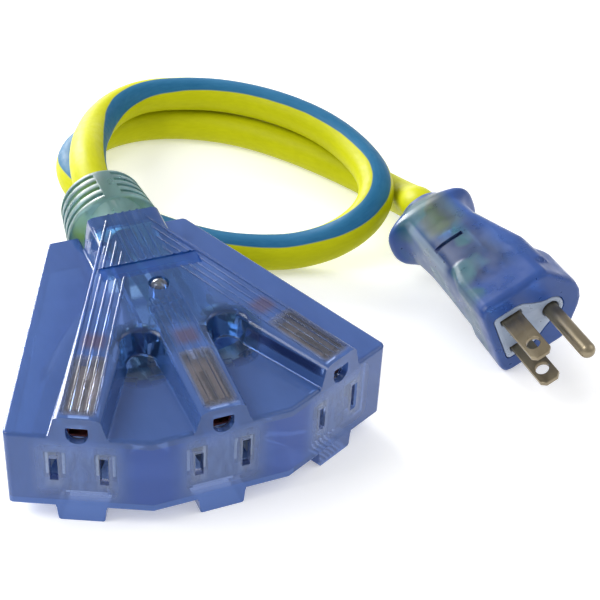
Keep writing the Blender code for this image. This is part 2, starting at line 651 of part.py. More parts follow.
def cut_relief_slots(made):
    """Crescent slots on both flanks, which let the relief bend; a spine is left above and below."""
    half_width = RELIEF_SLOT_WIDTH / 2
    for index in range(RELIEF_SLOTS):
        y = WING_REAR_Y + RELIEF_FIRST_SLOT + index * RELIEF_SLOT_PITCH
        centre = (0, relief_centre(y))
        share = (y - WING_REAR_Y) / (RELIEF_END_Y - WING_REAR_Y)
        half_x, half_z = (base + (end - base) * share for base, end in zip(RELIEF_BASE, RELIEF_END))
        floor_x, floor_z = half_x - RELIEF_SLOT_DEPTH, half_z - RELIEF_SLOT_DEPTH
        core = loft("core", [ring(centre, floor_x, floor_z, y + end * RELIEF_SLOT_WIDTH) for end in (-1, 1)])
        disc = loft("disc", [ring(centre, 2 * half_x, 2 * half_z, y + end * half_width) for end in (-1, 1)])
        boolean(disc, core)
        boolean(disc, box("spine", (-RELIEF_SPINE_HALF, y - RELIEF_SLOT_PITCH, -FAR),
                          (RELIEF_SPINE_HALF, y + RELIEF_SLOT_PITCH, FAR)))
        boolean(made, disc)


def make_block_wires(looks, bus_heights):
    """Three insulated conductors from the crimps on the buses into the strain relief's bore."""
    rows = (("line", LINE_SIDE * LINE_STEM_X, LINE_STEM_END, 30),
            ("neutral", -LINE_SIDE * LINE_STEM_X, LINE_STEM_END, 150), ("ground", 0.0, GROUND_STEM_END, 270))
    for kind, x, stem_end, phase in rows:
        angle = math.radians(phase)
        offset = Vector((-WIRE_SPREAD * math.cos(angle), 0, WIRE_SPREAD * math.sin(angle)))
        height = bus_heights[f"{kind}_bus"]
        crimp_front = -stem_end + GAP
        crimp_rear = crimp_front + CRIMP_LENGTH
        crimp = cylinder("crimp", CRIMP_OUTER, (x, crimp_front, height), (x, crimp_rear, height), 16)
        boolean(crimp, cylinder("hole", WIRE_DIAMETER + 2 * GAP, (x, crimp_front + CUT_MARGIN, height),
                                (x, crimp_rear + CUT_MARGIN, height), 16))
        finish(from_apex(crimp), f"{kind}_crimp_block", looks["brass"], smooth=True)
        leave_y = RELIEF_END_Y - 1.2 * MM
        entry = Vector((0, NECK_REAR_Y - 1.0 * MM, relief_centre(NECK_REAR_Y))) + offset
        leave = Vector((0, leave_y, relief_centre(leave_y))) + offset
        start = Vector((x, crimp_front + CRIMP_GRIP, height))
        bend = Vector((x, crimp_rear + 3.0 * MM, height))
        turn_in = Vector((offset.x * 1.9, NECK_REAR_Y - 9.0 * MM, entry.z - (entry.z - height) * 0.12))
        route = smooth_route([start, Vector((x, crimp_rear, height)), bend, turn_in, entry, leave], 18)
        finish(from_apex(wire("wire", route, WIRE_DIAMETER)), f"{kind}_wire_block", looks[kind], smooth=True)


def make_lamp(looks, bus_heights):
    """Pilot lamp under its window, with leads to the line and neutral bars and a series resistor."""
    top = crest_height(LAMP_Y) + LAMP_PROUD
    base = CROWN_TOP - LAMP_SEAT
    lens = turned("lens", domed_profile(LAMP_DIAMETER / 2, base, top), 20)
    lens.data.transform(Matrix.Translation((0, LAMP_Y, 0)))
    finish(from_apex(lens), "power_lamp", looks["lamp"], smooth=True)
    line_z = bus_heights["line_bus"] + BUS_SHEET / 2 + GAP
    neutral_z = bus_heights["neutral_bus"] + BUS_SHEET / 2 + GAP
    stem_y = -LINE_STEM_END - LEAD_BEHIND_STEM
    resistor_low, resistor_high = (line_z + height for height in RESISTOR_HEIGHTS)
    line_x = LINE_SIDE * LINE_STEM_X
    body = cylinder("resistor", RESISTOR_DIAMETER, (line_x, stem_y, resistor_low),
                    (line_x, stem_y, resistor_high), 14)
    finish(from_apex(body), "lamp_resistor", looks["resistor"], smooth=True)
    under_lamp = Vector((0, LAMP_Y, base - GAP))
    bent = []
    for side, end_z in ((LINE_SIDE, resistor_high + GAP), (-LINE_SIDE, neutral_z)):
        pin = Vector((side * LAMP_PIN_HALF, 0, 0))
        turn = Vector((side * LEAD_TURN.x, LEAD_TURN.y, LEAD_TURN.z))
        bent.append([under_lamp + pin, under_lamp + pin - Vector((0, 0, 1.6 * MM)), under_lamp + turn,
                     Vector((side * LINE_STEM_X, stem_y, under_lamp.z - LEAD_DROP)),
                     Vector((side * LINE_STEM_X, stem_y, end_z))])
    straight = [Vector((line_x, stem_y, z)) for z in (resistor_low - GAP, line_z)]
    rows = (("lamp_lead_line", bent[0]), ("lamp_lead_neutral", bent[1]), ("resistor_lead", straight))
    for name, points in rows:
        finish(from_apex(wire(name, points, LEAD_DIAMETER)), name, looks["tinned"], smooth=True)


def domed_profile(radius, base, top, steps=5):
    """Radius and height of a round bar with a hemispherical top, from its top down to its base."""
    profile = [(0.0, top)]
    for step in range(1, steps + 1):
        angle = math.pi / 2 * step / steps
        profile.append((radius * math.sin(angle), top - radius + radius * math.cos(angle)))
    return [*profile, (radius, base), (0.0, base)]


def turned(name, profile, steps):
    """A profile of radius and height, spun about the Z axis."""
    curve_mesh = bpy.data.meshes.new(name)
    points = [(radius, 0.0, height) for radius, height in profile]
    curve_mesh.from_pydata(points, [(i, i + 1) for i in range(len(points) - 1)], [])
    holder = bpy.data.objects.new(name, curve_mesh)
    cutter_collection.objects.link(holder)
    spin = holder.modifiers.new("spin", "SCREW")
    spin.steps = steps
    spin.render_steps = steps
    spin.use_merge_vertices = True
    spin.merge_threshold = 0.00001
    bpy.context.view_layer.update()
    graph = bpy.context.evaluated_depsgraph_get()
    mesh = bpy.data.meshes.new_from_object(holder.evaluated_get(graph))
    bpy.data.objects.remove(holder, do_unlink=True)
    bm = bmesh.new()
    bm.from_mesh(mesh)
    bpy.data.meshes.remove(mesh)
    bmesh.ops.remove_doubles(bm, verts=bm.verts, dist=0.00001)
    return object_from_bmesh(name, bm)


# ---------------------------------------------------------------- cord

def make_cord(look):
    """The jacket, from the strain relief's mouth to the plug's."""
    shift = Vector((0, APEX_Y, 0))
    points = [Vector(p) * MM + shift for p in CORD_ROUTE]
    plug_matrix = Matrix.Translation(PLUG_FACE + shift) @ PLUG_TURN.to_matrix().to_4x4()
    for back in (PLUG_STRAIGHT, GAP):
        points.append(plug_matrix @ Vector((PLUG_REAR - back, 0, PLUG_AXIS_Z)))
    curve = bpy.data.curves.new("cord_jacket", "CURVE")
    curve.dimensions = "3D"
    curve.bevel_depth = CORD_DIAMETER / 2
    curve.bevel_resolution = CORD_BEVEL_RESOLUTION
    curve.use_fill_caps = True
    spline = curve.splines.new("POLY")
    route = smooth_route(points, CORD_SAMPLES)
    spline.points.add(len(route) - 1)
    for point, place in zip(spline.points, route):
        point.co = (*place, 1.0)
    curve.materials.append(look)
    made = bpy.data.objects.new("cord_jacket", curve)
    part_collection.objects.link(made)
    return made


# ---------------------------------------------------------------- plug, in its own axes

def plug_section(x, half_y, z_low, z_high, power, sides=28):
    """A rounded rectangle across the plug; a higher power gives squarer corners."""
    middle = (z_low + z_high) / 2
    half_z = (z_high - z_low) / 2
    points = []
    for i in range(sides):
        angle = 2 * math.pi * (i + 0.5) / sides
        c, s = math.cos(angle), math.sin(angle)
        points.append((x, half_y * math.copysign(abs(c) ** (2 / power), c),
                       middle + half_z * math.copysign(abs(s) ** (2 / power), s)))
    return points


def flange_outline(scale):
    """Front of the plug: flat along the blade side, pointed and rounded on the ground-pin side."""
    half = [Vector(p) * MM for p in FLANGE_HALF]
    mirrored = [Vector((-p.x, p.y)) for p in reversed(half[1:-1])]
    middle = Vector((0, FLANGE_MIDDLE_Z))
    return [middle + (p - middle) * scale for p in half + mirrored]


def make_plug_body(look, parent):
    """The moulded grip with its flange, hollow for the carrier, the crimps and the conductors."""
    grip = loft("grip", [plug_section(x * MM, y * MM, low * MM, high * MM, power)
                         for x, y, low, high, power in GRIP_SECTIONS])
    flange = loft("flange", [[(x * MM, p.x, p.y) for p in flange_outline(scale)]
                             for x, scale in FLANGE_SECTIONS])
    boolean(grip, flange, "UNION")
    pocket_rear = -CARRIER_DEPTH - GAP
    for low, high in carrier_boxes(GAP):
        boolean(grip, box("pocket", (pocket_rear, *low), (CUT_MARGIN, *high)))
    inside = pocket_rear + CUT_MARGIN
    for name, rear, (low_y, high_y), (low_z, high_z) in PLUG_HOLLOWS:
        boolean(grip, box(name, (rear * MM, low_y * MM, low_z * MM), (inside, high_y * MM, high_z * MM)))
    boolean(grip, cylinder("bore", PLUG_BORE, (PLUG_REAR - CUT_MARGIN, 0, PLUG_AXIS_Z),
                           (PLUG_BORE_FRONT, 0, PLUG_AXIS_Z)))
    return finish(grip, "plug_overmould", look, parent=parent)


def carrier_boxes(grow):
    """Cross-sections of the blade carrier, as low and high corners in the plug's Y and Z."""
    base_half = CARRIER_HALF + grow
    tower_half = CARRIER_TOWER_HALF + grow
    return (((-base_half, CARRIER_LOW - grow), (base_half, CARRIER_HIGH + grow)),
            ((-tower_half, 0.0), (tower_half, GROUND_RISE + CARRIER_TOWER_RISE + grow)))


def make_carrier(look, parent):
    """The rigid insert that holds the two blades and the ground pin."""
    base, tower = carrier_boxes(0.0)
    carrier = box("carrier", (-CARRIER_DEPTH, *base[0]), (0.0, *base[1]))
    boolean(carrier, box("tower", (-CARRIER_DEPTH, *tower[0]), (0.0, *tower[1])), "UNION")
    behind = -CARRIER_DEPTH - CUT_MARGIN
    half_y = BLADE_THICK / 2 + GAP
    half_z = BLADE_WIDE / 2 + GAP
    for y in (-SLOT_PITCH_HALF, SLOT_PITCH_HALF):
        boolean(carrier, box("slot", (behind, y - half_y, -half_z), (CUT_MARGIN, y + half_y, half_z)))
    boolean(carrier, cylinder("pin_hole", PIN_DIAMETER + 2 * GAP, (behind, 0, GROUND_RISE),
                              (CUT_MARGIN, 0, GROUND_RISE), 20))
    return finish(carrier, "plug_blade_carrier", look, parent=parent)


def make_plug_parts(looks, parent):
    make_carrier(looks["carrier"], parent)
    for kind, sign in (("line", 1), ("neutral", -1)):
        make_blade(kind, sign, looks["plated"], parent)
    make_ground_pin(looks["plated"], parent)
    make_plug_wires(looks, parent)


def make_blade(kind, sign, look, parent):
    """A flat blade with chamfered corners and a round hole near its tip."""
    half = BLADE_WIDE / 2
    near = BLADE_LONG - BLADE_CORNER
    outline = [(BLADE_TAIL, -half), (near, -half), (BLADE_LONG, -half + BLADE_CORNER),
               (BLADE_LONG, half - BLADE_CORNER), (near, half), (BLADE_TAIL, half)]
    hole = [(BLADE_HOLE_X + BLADE_HOLE / 2 * math.cos(2 * math.pi * i / 16),
             BLADE_HOLE / 2 * math.sin(2 * math.pi * i / 16)) for i in range(16)]
    made = plate("blade", [outline, hole], -BLADE_THICK / 2, BLADE_THICK / 2)
    stand = Matrix.Rotation(math.pi / 2, 4, "X")
    made.data.transform(Matrix.Translation((0, sign * SLOT_PITCH_HALF, 0)) @ stand)
    return finish(made, f"{kind}_blade", look, parent=parent)


def make_ground_pin(look, parent):
    """A round pin with a domed tip, laid along the plug's axis."""
    made = turned("pin", domed_profile(PIN_DIAMETER / 2, BLADE_TAIL, PIN_LONG), 20)
    made.data.transform(Matrix.Translation((0, 0, GROUND_RISE)) @ Matrix.Rotation(math.pi / 2, 4, "Y"))
    return finish(made, "ground_pin", look, smooth=True, parent=parent)


def make_plug_wires(looks, parent):
    """Three crimps behind the blades and the pin, and the conductors from them into the cord."""
    rows = (("line", SLOT_PITCH_HALF, 0.0, 330), ("neutral", -SLOT_PITCH_HALF, 0.0, 210),
            ("ground", 0.0, GROUND_RISE, 90))
    front = BLADE_TAIL - GAP
    rear = front - CRIMP_LENGTH
    for kind, y, z, phase in rows:
        angle = math.radians(phase)
        offset = Vector((0, WIRE_SPREAD * math.cos(angle), WIRE_SPREAD * math.sin(angle)))
        crimp = cylinder("crimp", CRIMP_OUTER, (front, y, z), (rear, y, z), 16)
        boolean(crimp, cylinder("hole", WIRE_DIAMETER + 2 * GAP, (front - CUT_MARGIN, y, z),
                                (rear - CUT_MARGIN, y, z), 16))
        finish(crimp, f"{kind}_crimp_plug", looks["brass"], smooth=True, parent=parent)
        axis = Vector((0, offset.y, PLUG_AXIS_Z + offset.z))
        start = Vector((front - CRIMP_GRIP, y, z))
        straight = Vector((rear - 0.8 * MM, y, z))
        middle = Vector((-28.5 * MM, (axis.y + y) / 2, (axis.z + z) / 2))
        entry = axis + Vector((-34.0 * MM, 0, 0))
        leave = axis + Vector((PLUG_REAR + 1.2 * MM, 0, 0))
        route = smooth_route([start, straight, middle, entry, leave], 16)
        conductor = wire("wire", route, WIRE_DIAMETER)
        finish(conductor, f"{kind}_wire_plug", looks[kind], smooth=True, parent=parent)


def main():
    clear_scene()
    looks = {
        "overmould": material("translucent_blue_vinyl", (0.05, 0.11, 0.42), 0.25),
        "relief": material("translucent_teal_vinyl", (0.22, 0.45, 0.45), 0.35),
        "insert": material("clear_polycarbonate", (0.62, 0.70, 0.80), 0.15),
        "brass": material("brass", (0.72, 0.55, 0.30), 0.3, 1.0),
        "plated": material("nickel_plated_brass", (0.62, 0.58, 0.50), 0.28, 1.0),
        "tinned": material("tinned_copper", (0.75, 0.75, 0.74), 0.3, 1.0),
        "carrier": material("grey_nylon", (0.55, 0.60, 0.66), 0.4),
        "lamp": material("clear_lamp", (0.85, 0.88, 0.90), 0.08),
        "resistor": material("resistor_body", (0.55, 0.45, 0.30), 0.5),
        "jacket": material("lime_jacket", (0.55, 0.58, 0.02), 0.45),
        "line": material("black_insulation", (0.02, 0.02, 0.02), 0.5),
        "neutral": material("white_insulation", (0.85, 0.85, 0.83), 0.5),
        "ground": material("green_insulation", (0.02, 0.25, 0.10), 0.5),
    }
    make_block(looks["overmould"])
    for name, side in OUTLETS:
        make_insert(name, side, looks["insert"])
        make_blade_contact("line", name, side, looks["brass"])
        make_blade_contact("neutral", name, side, looks["brass"])
        make_ground_contact(name, side, looks["brass"])
    bus_heights = make_buses(looks["brass"])
    make_relief(looks["relief"])
    make_block_wires(looks, bus_heights)
    make_lamp(looks, bus_heights)
    make_cord(looks["jacket"])
    plug_frame = bpy.data.objects.new("plug_frame", None)
    plug_frame.location = PLUG_FACE + Vector((0, APEX_Y, 0))
    plug_frame.rotation_euler = PLUG_TURN
    part_collection.objects.link(plug_frame)
    make_plug_body(looks["overmould"], plug_frame)
    make_plug_parts(looks, plug_frame)


main()
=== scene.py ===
import math

import bmesh
import bpy
import numpy as np
from mathutils import Euler, Matrix, Vector


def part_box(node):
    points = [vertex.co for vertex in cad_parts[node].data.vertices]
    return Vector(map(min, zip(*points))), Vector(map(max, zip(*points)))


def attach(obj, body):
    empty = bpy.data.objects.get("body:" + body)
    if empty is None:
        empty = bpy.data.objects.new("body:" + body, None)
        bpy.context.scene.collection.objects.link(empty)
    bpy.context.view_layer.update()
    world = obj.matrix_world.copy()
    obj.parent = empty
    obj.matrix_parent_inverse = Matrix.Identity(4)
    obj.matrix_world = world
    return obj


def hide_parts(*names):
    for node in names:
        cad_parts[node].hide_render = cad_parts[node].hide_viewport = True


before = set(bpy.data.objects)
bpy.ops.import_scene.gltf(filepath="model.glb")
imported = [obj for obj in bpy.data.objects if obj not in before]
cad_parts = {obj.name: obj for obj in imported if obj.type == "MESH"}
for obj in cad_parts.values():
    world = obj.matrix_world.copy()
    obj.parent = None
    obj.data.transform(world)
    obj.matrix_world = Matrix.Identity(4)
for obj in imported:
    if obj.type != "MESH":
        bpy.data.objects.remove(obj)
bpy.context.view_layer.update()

MM = 0.001

# ---- layout shared with the CAD

FAN_RADIUS = 82.8 * MM
FAN_ANGLE = math.radians(25.3)
APEX_Y = 28.9 * MM
APEX = Vector((0, APEX_Y, 0))
SIDES = (-1, 0, 1)

SLAB_BOTTOM = 4.4 * MM
SLAB_TOP = 28.5 * MM
WING_REAR_Y = 8.0 * MM
WING_REAR_HALF = 20.7 * MM
SLAB_BEVEL = 1.2 * MM
RIB_HALF = 5.9 * MM
RIB_FLARE = 1.25 * MM
RIB_SETBACK = 0.02 * MM
RIB_TOP_REAR = 39.0 * MM
RIB_TOP_FRONT = 34.3 * MM
NECK_HALF = 10.4 * MM
NECK_REAR_Y = 1.0 * MM
NECK_FRONT_Y = -12.0 * MM
POCKET_RADIUS = 5.6 * MM
POCKET_CENTRE = Vector((12.0 * MM, -53.6 * MM))

FRONT_WALL = 2.3 * MM
CHAMBER_BOTTOM = 7.7 * MM
CHAMBER_TOP = 25.5 * MM
CHAMBER_RADIUS = 59.0 * MM
CHAMBER_ANGLE = math.radians(39.0)
CHAMBER_NECK_Y = -10.0 * MM
CROWN_TOP = 31.0 * MM
CROWN_HALF = 8.3 * MM
CROWN_FRONT_Y = -48.2 * MM
NOTCH_HALF = 11.2 * MM
CUT_MARGIN = 1.0 * MM
FAR = 120.0 * MM                # beyond the block, for cutters
ANY = 1.0                       # beyond everything, for the open end of a span
GAP = 0.35 * MM

SLOT_Z = 17.45 * MM
SLOT_PITCH_HALF = 6.35 * MM
LINE_SIDE = -1
GROUND_RISE = 11.9 * MM
SLOT_WIDTH = 2.2 * MM
LINE_SLOT_HEIGHT = 7.2 * MM
NEUTRAL_SLOT_HEIGHT = 8.8 * MM
GROUND_HOLE = 5.6 * MM
INSERT_DEPTH = 21.5 * MM
INSERT_HALF = 11.2 * MM
INSERT_BOTTOM = 9.0 * MM
INSERT_TOP = 25.6 * MM
INSERT_CROWN_HALF = 4.5 * MM
INSERT_CROWN_TOP = 33.0 * MM
CROWN_POCKET_REAR_Y = -38.0 * MM

LAMP_Y = -32.0 * MM
LAMP_DIAMETER = 5.0 * MM
LAMP_PROUD = 1.0 * MM
LAMP_SEAT = 1.2 * MM

RELIEF_BASE_Z = 24.6 * MM
RELIEF_END_Z = 28.1 * MM
RELIEF_END_Y = 25.0 * MM
RELIEF_BASE = (14.4 * MM, 14.0 * MM)
RELIEF_END = (12.7 * MM, 11.8 * MM)
RELIEF_TONGUE_HALF = 13.6 * MM
RELIEF_BORE = 9.4 * MM
RELIEF_SLOTS = 4
RELIEF_FIRST_SLOT = 3.2 * MM
RELIEF_SLOT_PITCH = 3.4 * MM
RELIEF_SLOT_WIDTH = 1.4 * MM
RELIEF_SLOT_DEPTH = 1.3 * MM
RELIEF_SPINE_HALF = 2.6 * MM

CORD_DIAMETER = 11.4 * MM
CORD_LENGTH = 0.5093
CORD_ROUTE = (
    (0.0, 25.35, 28.1), (0.0, 31.0, 28.4), (0.9, 39.0, 28.8), (3.2, 49.0, 28.0), (7.2, 61.5, 25.0),
    (12.0, 74.0, 21.0), (18.6, 86.0, 18.4), (27.5, 94.5, 17.5), (38.0, 98.0, 17.4), (50.0, 96.0, 17.4),
    (62.0, 91.0, 17.4),
    (72.5, 83.0, 17.4), (81.0, 73.0, 17.4), (87.5, 61.5, 17.4), (91.3, 49.0, 17.5), (92.6, 36.0, 17.7),
    (91.5, 24.0, 17.8), (87.5, 14.0, 16.8), (80.0, 7.8, 13.8), (70.0, 6.4, 9.8), (59.0, 8.8, 6.7),
    (48.0, 12.6, 5.9), (37.0, 18.3, 5.8), (26.5, 27.5, 5.8), (17.0, 39.0, 5.8), (9.5, 51.5, 5.8),
    (5.4, 65.0, 5.8), (5.6, 78.0, 5.8), (11.0, 89.3, 5.8), (21.0, 96.4, 5.8), (33.0, 98.8, 5.8),
    (46.0, 96.8, 5.8), (58.5, 91.2, 5.8), (70.0, 82.3, 5.8), (80.0, 70.6, 5.8), (88.5, 57.5, 5.9),
    (96.0, 43.5, 6.0), (100.6, 29.5, 7.4), (100.4, 15.0, 12.6),
)

# Plug: local X runs toward the blade tips, local Y from blade to blade, local Z toward the ground pin
PLUG_FACE = Vector((97.5 * MM, -60.5 * MM, 16.15 * MM))
PLUG_TURN = Euler((math.radians(-65.0), math.radians(3.4), math.radians(-86.8)), "XYZ")
PLUG_MATRIX = Matrix.Translation(PLUG_FACE + APEX) @ PLUG_TURN.to_matrix().to_4x4()
PLUG_REAR = -55.0 * MM
PLUG_AXIS_Z = 2.4 * MM
PLUG_STRAIGHT = 6.0 * MM
BLADE_THICK = 1.52 * MM
BLADE_WIDE = 6.35 * MM
BLADE_LONG = 16.9 * MM
BLADE_CORNER = 1.3 * MM
BLADE_HOLE = 3.96 * MM
BLADE_HOLE_X = 11.7 * MM
BLADE_TAIL = -16.0 * MM
PIN_DIAMETER = 4.75 * MM
PIN_LONG = 20.9 * MM
PLUG_BORE = 9.4 * MM
CARRIER_DEPTH = 13.0 * MM
CARRIER_HALF = 9.4 * MM
CARRIER_LOW = -5.2 * MM
CARRIER_TOWER_HALF = 4.4 * MM
CARRIER_TOWER_RISE = 4.2 * MM
GRIP_SECTIONS = (
    (-58.6, 6.4, -4.0, 8.4, 2.0), (-57.8, 7.4, -5.6, 9.6, 2.2), (-55.8, 8.2, -8.0, 10.8, 2.3),
    (-53.8, 9.4, -11.6, 14.0, 2.6), (-52.0, 10.4, -13.6, 16.4, 2.8), (-50.4, 10.9, -13.4, 16.2, 3.0),
    (-48.6, 11.1, -10.6, 13.6, 3.3), (-47.0, 11.2, -8.8, 12.3, 3.6), (-40.0, 11.6, -7.8, 12.6, 4.0),
    (-30.0, 12.4, -7.6, 15.2, 4.4), (-20.0, 13.4, -7.7, 18.0, 4.6), (-8.0, 14.2, -7.8, 18.6, 4.8),
)
FLANGE_SECTIONS = (             # x, and the share of the full outline across and upward
    (-22.0, 0.86, 0.80), (-15.0, 0.91, 0.985), (-8.0, 0.955, 0.99), (-2.0, 1.0, 1.0), (-0.5, 0.985, 0.985),
    (0.0, 0.94, 0.94),
)
FLANGE_HALF = (
    (0.0, -8.0), (12.8, -8.0), (14.6, -7.2), (15.3, -5.4), (15.3, 12.6), (14.6, 14.4), (5.6, 20.8),
    (3.0, 22.0), (0.0, 22.4),
)
FLANGE_MIDDLE_Z = 4.0 * MM
PLUG_HOLLOWS = (
    (-26.5, (-9.8, 9.8), (-4.2, 5.6)), (-37.0, (-9.0, 9.0), (-2.2, 6.6)),
    (-26.5, (-3.4, 3.4), (2.0, 15.0)), (-36.0, (-3.2, 3.2), (2.0, 13.4)),
)
PLUG_BORE_FRONT = -20.0 * MM

# ---- details that only the looks have

# Rounded edges of the upper and the lower ribs' crests: how far across them and how far down
CREST_ROUND = {True: (2.6 * MM, 1.3 * MM), False: (0.8 * MM, 0.8 * MM)}
FOOT_FILLET = {True: 0.6 * MM, False: 0.2 * MM}  # where the upper and the lower ribs meet the slab
FLARE = {True: RIB_FLARE, False: 0.4 * MM}       # how much wider the ribs are at the slab
RIDGE_OFFSETS = tuple(n * 2.1 * MM for n in (-2, -1, 0, 1, 2))
RIDGE_HALF = 0.38 * MM
RIDGE_HEIGHT = 0.32 * MM
RIDGE_FRONT = FAN_RADIUS - 2.4 * MM
CENTRE_BAND_HALF = 5.7 * MM     # the centre rib's ridges; the outer ribs' stop at its sides
BAND_REAR_Y = -21.5 * MM        # smooth band across the plateau behind the lamp
BAND_FRONT_Y = -27.0 * MM
BAND_HALF = 14.0 * MM
BAND_DEPTH = 0.35 * MM
LAMP_CLEAR_Y = -37.5 * MM       # the centre ridges start again in front of the lamp
GRIP_MARK = ((-32.7 * MM, -31.3 * MM), (-5.4 * MM, 4.2 * MM))    # a slot in each broad side of the plug: x, z
GRIP_MARK_FLOOR = 10.9 * MM
GROOVE_PITCH, GROOVE_HALF, GROOVE_DEPTH = 1.6 * MM, 0.4 * MM, 0.6 * MM
GROOVE_FRONT, GROOVE_REAR = -FAN_RADIUS + 1.2 * MM, -58.0 * MM
CARRIER_CORNER = 1.4 * MM
ROUND_SIDES, POCKET_STEPS = 72, 18      # edges round the relief and the plug, and round a pocket
PLUG_VOXEL = 0.45 * MM
PIN_SEAM_HALF = 0.42 * MM


# ---- mesh helpers

def new_object(bm, name="part"):
    bmesh.ops.recalc_face_normals(bm, faces=bm.faces)
    mesh = bpy.data.meshes.new(name)
    bm.to_mesh(mesh)
    bm.free()
    made = bpy.data.objects.new(name, mesh)
    bpy.context.scene.collection.objects.link(made)
    return made


def box(low, high):
    bm = bmesh.new()
    bmesh.ops.create_cube(bm, size=1.0)
    low, high = Vector(low), Vector(high)
    for vert in bm.verts:
        vert.co = Vector((lo + (hi - lo) * (c + 0.5) for lo, hi, c in zip(low, high, vert.co)))
    return new_object(bm)


def cylinder(diameter, start, end, sides=48):
    start, end = Vector(start), Vector(end)
    along = end - start
    turn = along.to_track_quat("Z", "Y").to_matrix().to_4x4()
    bm = bmesh.new()
    bmesh.ops.create_cone(bm, cap_ends=True, segments=sides, radius1=diameter / 2, radius2=diameter / 2,
                          depth=along.length, matrix=Matrix.Translation((start + end) / 2) @ turn)
    return new_object(bm)


def loft(sections):
    """A closed body through sections that have the same number of points; its skew faces are split in two."""
    bm = bmesh.new()
    rings = [[bm.verts.new(point) for point in section] for section in sections]
    count = len(rings[0])
    for ring, following in zip(rings[:-1], rings[1:]):
        for i in range(count):
            j = (i + 1) % count
            bm.faces.new((ring[i], ring[j], following[j], following[i]))
    bmesh.ops.triangulate(bm, faces=bm.faces)
    bm.faces.new(rings[0])
    bm.faces.new(rings[-1])
    return new_object(bm)


def plate(outline, low, high):
    return loft([[(p[0], p[1], z) for p in outline] for z in (low, high)])


def evaluated(target):
    """Replaces the mesh by what its modifiers make of it."""
    bpy.context.view_layer.update()
    graph = bpy.context.evaluated_depsgraph_get()
    result = bpy.data.meshes.new_from_object(target.evaluated_get(graph))
    target.modifiers.clear()
    old = target.data
    target.data = result
    bpy.data.meshes.remove(old)
    return target


def boolean(target, *cutters, operation="DIFFERENCE"):
    """Exact Booleans, one after another, worked in millimetres, where their tolerances suit these sizes."""
    for cutter in cutters:
        for mesh in (target.data, cutter.data):
            mesh.transform(Matrix.Scale(1 / MM, 4))
        modifier = target.modifiers.new("boolean", "BOOLEAN")
        modifier.object = cutter
        modifier.operation = operation
        modifier.solver = "EXACT"
        evaluated(target)
        bpy.data.objects.remove(cutter, do_unlink=True)
        bm = bmesh.new()
        bm.from_mesh(target.data)
        bmesh.ops.remove_doubles(bm, verts=bm.verts, dist=0.0005)
        bmesh.ops.dissolve_degenerate(bm, edges=bm.edges, dist=0.0005)
        bm.to_mesh(target.data)
        bm.free()
        move(target, Matrix.Scale(MM, 4))
    return target


def join(parts):
    """One object from several separate bodies."""
    bm = bmesh.new()
    for part in parts:
        bm.from_mesh(part.data)
        bpy.data.objects.remove(part, do_unlink=True)
    return new_object(bm)


def bevel(target, width, segments, angle=40):
    modifier = target.modifiers.new("bevel", "BEVEL")
    modifier.width = width
    modifier.segments = segments
    modifier.limit_method = "ANGLE"
    modifier.angle_limit = math.radians(angle)
    return evaluated(target)


def move(target, matrix):
    target.data.transform(matrix)
    return target


def shade(target, angle):
    target.data.shade_smooth()
    target.data.set_sharp_from_angle(angle=math.radians(angle))
    return target


def flat_normals(target):
    """Large faces stay flat beside their rounded edges."""
    modifier = target.modifiers.new("weighted", "WEIGHTED_NORMAL")
    modifier.keep_sharp = True
    modifier.weight = 80
    return evaluated(target)


def publish(target, name, look, slot, *nodes):
    """Names a piece, gives it its material, hangs it on the root body, and hides the CAD nodes that it
    replaces.
    """
    target.name = name
    target.data.name = name
    target.data.materials.clear()
    target.data.materials.append(look.material)
    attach(target, "root")
    if nodes:
        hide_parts(*nodes)
    return target


def smooth_route(points, samples):
    """Evenly spaced points on a Catmull-Rom curve through the given ones."""
    padded = [points[0] * 2 - points[1], *points, points[-1] * 2 - points[-2]]
    dense = []
    steps = 16
    for a, b, c, d in zip(padded[:-3], padded[1:-2], padded[2:-1], padded[3:]):
        for step in range(steps):
            t = step / steps
            dense.append(0.5 * (2 * b + (c - a) * t + (2 * a - 5 * b + 4 * c - d) * t ** 2
                                + (3 * b - a - 3 * c + d) * t ** 3))
    dense.append(points[-1])
    table = np.array([tuple(p) for p in dense])
    run = np.concatenate(([0.0], np.cumsum(np.linalg.norm(np.diff(table, axis=0), axis=1))))
    even = np.linspace(0.0, run[-1], samples)
    return [Vector(p) for p in np.stack([np.interp(even, run, table[:, i]) for i in range(3)], axis=1)]


def polar(radius, angle):
    """A plan point: angle 0 looks along -Y, positive toward +X."""
    return Vector((radius * math.sin(angle), -radius * math.cos(angle)))


def mirror(points):
    return [Vector((-p.x, p.y)) for p in reversed(points)]


def fan(side):
    return Matrix.Rotation(side * FAN_ANGLE, 4, "Z")


def quarter(steps):
    """Angles from nought to a right angle."""
    return [math.pi / 2 * step / steps for step in range(steps + 1)]


def dome(radius, top, steps):
    """A spun profile from the middle of a round top down to its side."""
    return [(0.0, top)] + [(radius * math.sin(a), top - radius + radius * math.cos(a))
                           for a in quarter(steps)[1:]]


def rib_point(side, distance, offset):
    """A plan point on an outlet axis: distance from the apex, offset toward +X."""
    angle = side * FAN_ANGLE
    return polar(distance, angle) + Vector((offset * math.cos(angle), offset * math.sin(angle)))


def crest_height(y):
    share = (NECK_REAR_Y - y) / (NECK_REAR_Y + FAN_RADIUS)
    return RIB_TOP_REAR + (RIB_TOP_FRONT - RIB_TOP_REAR) * share


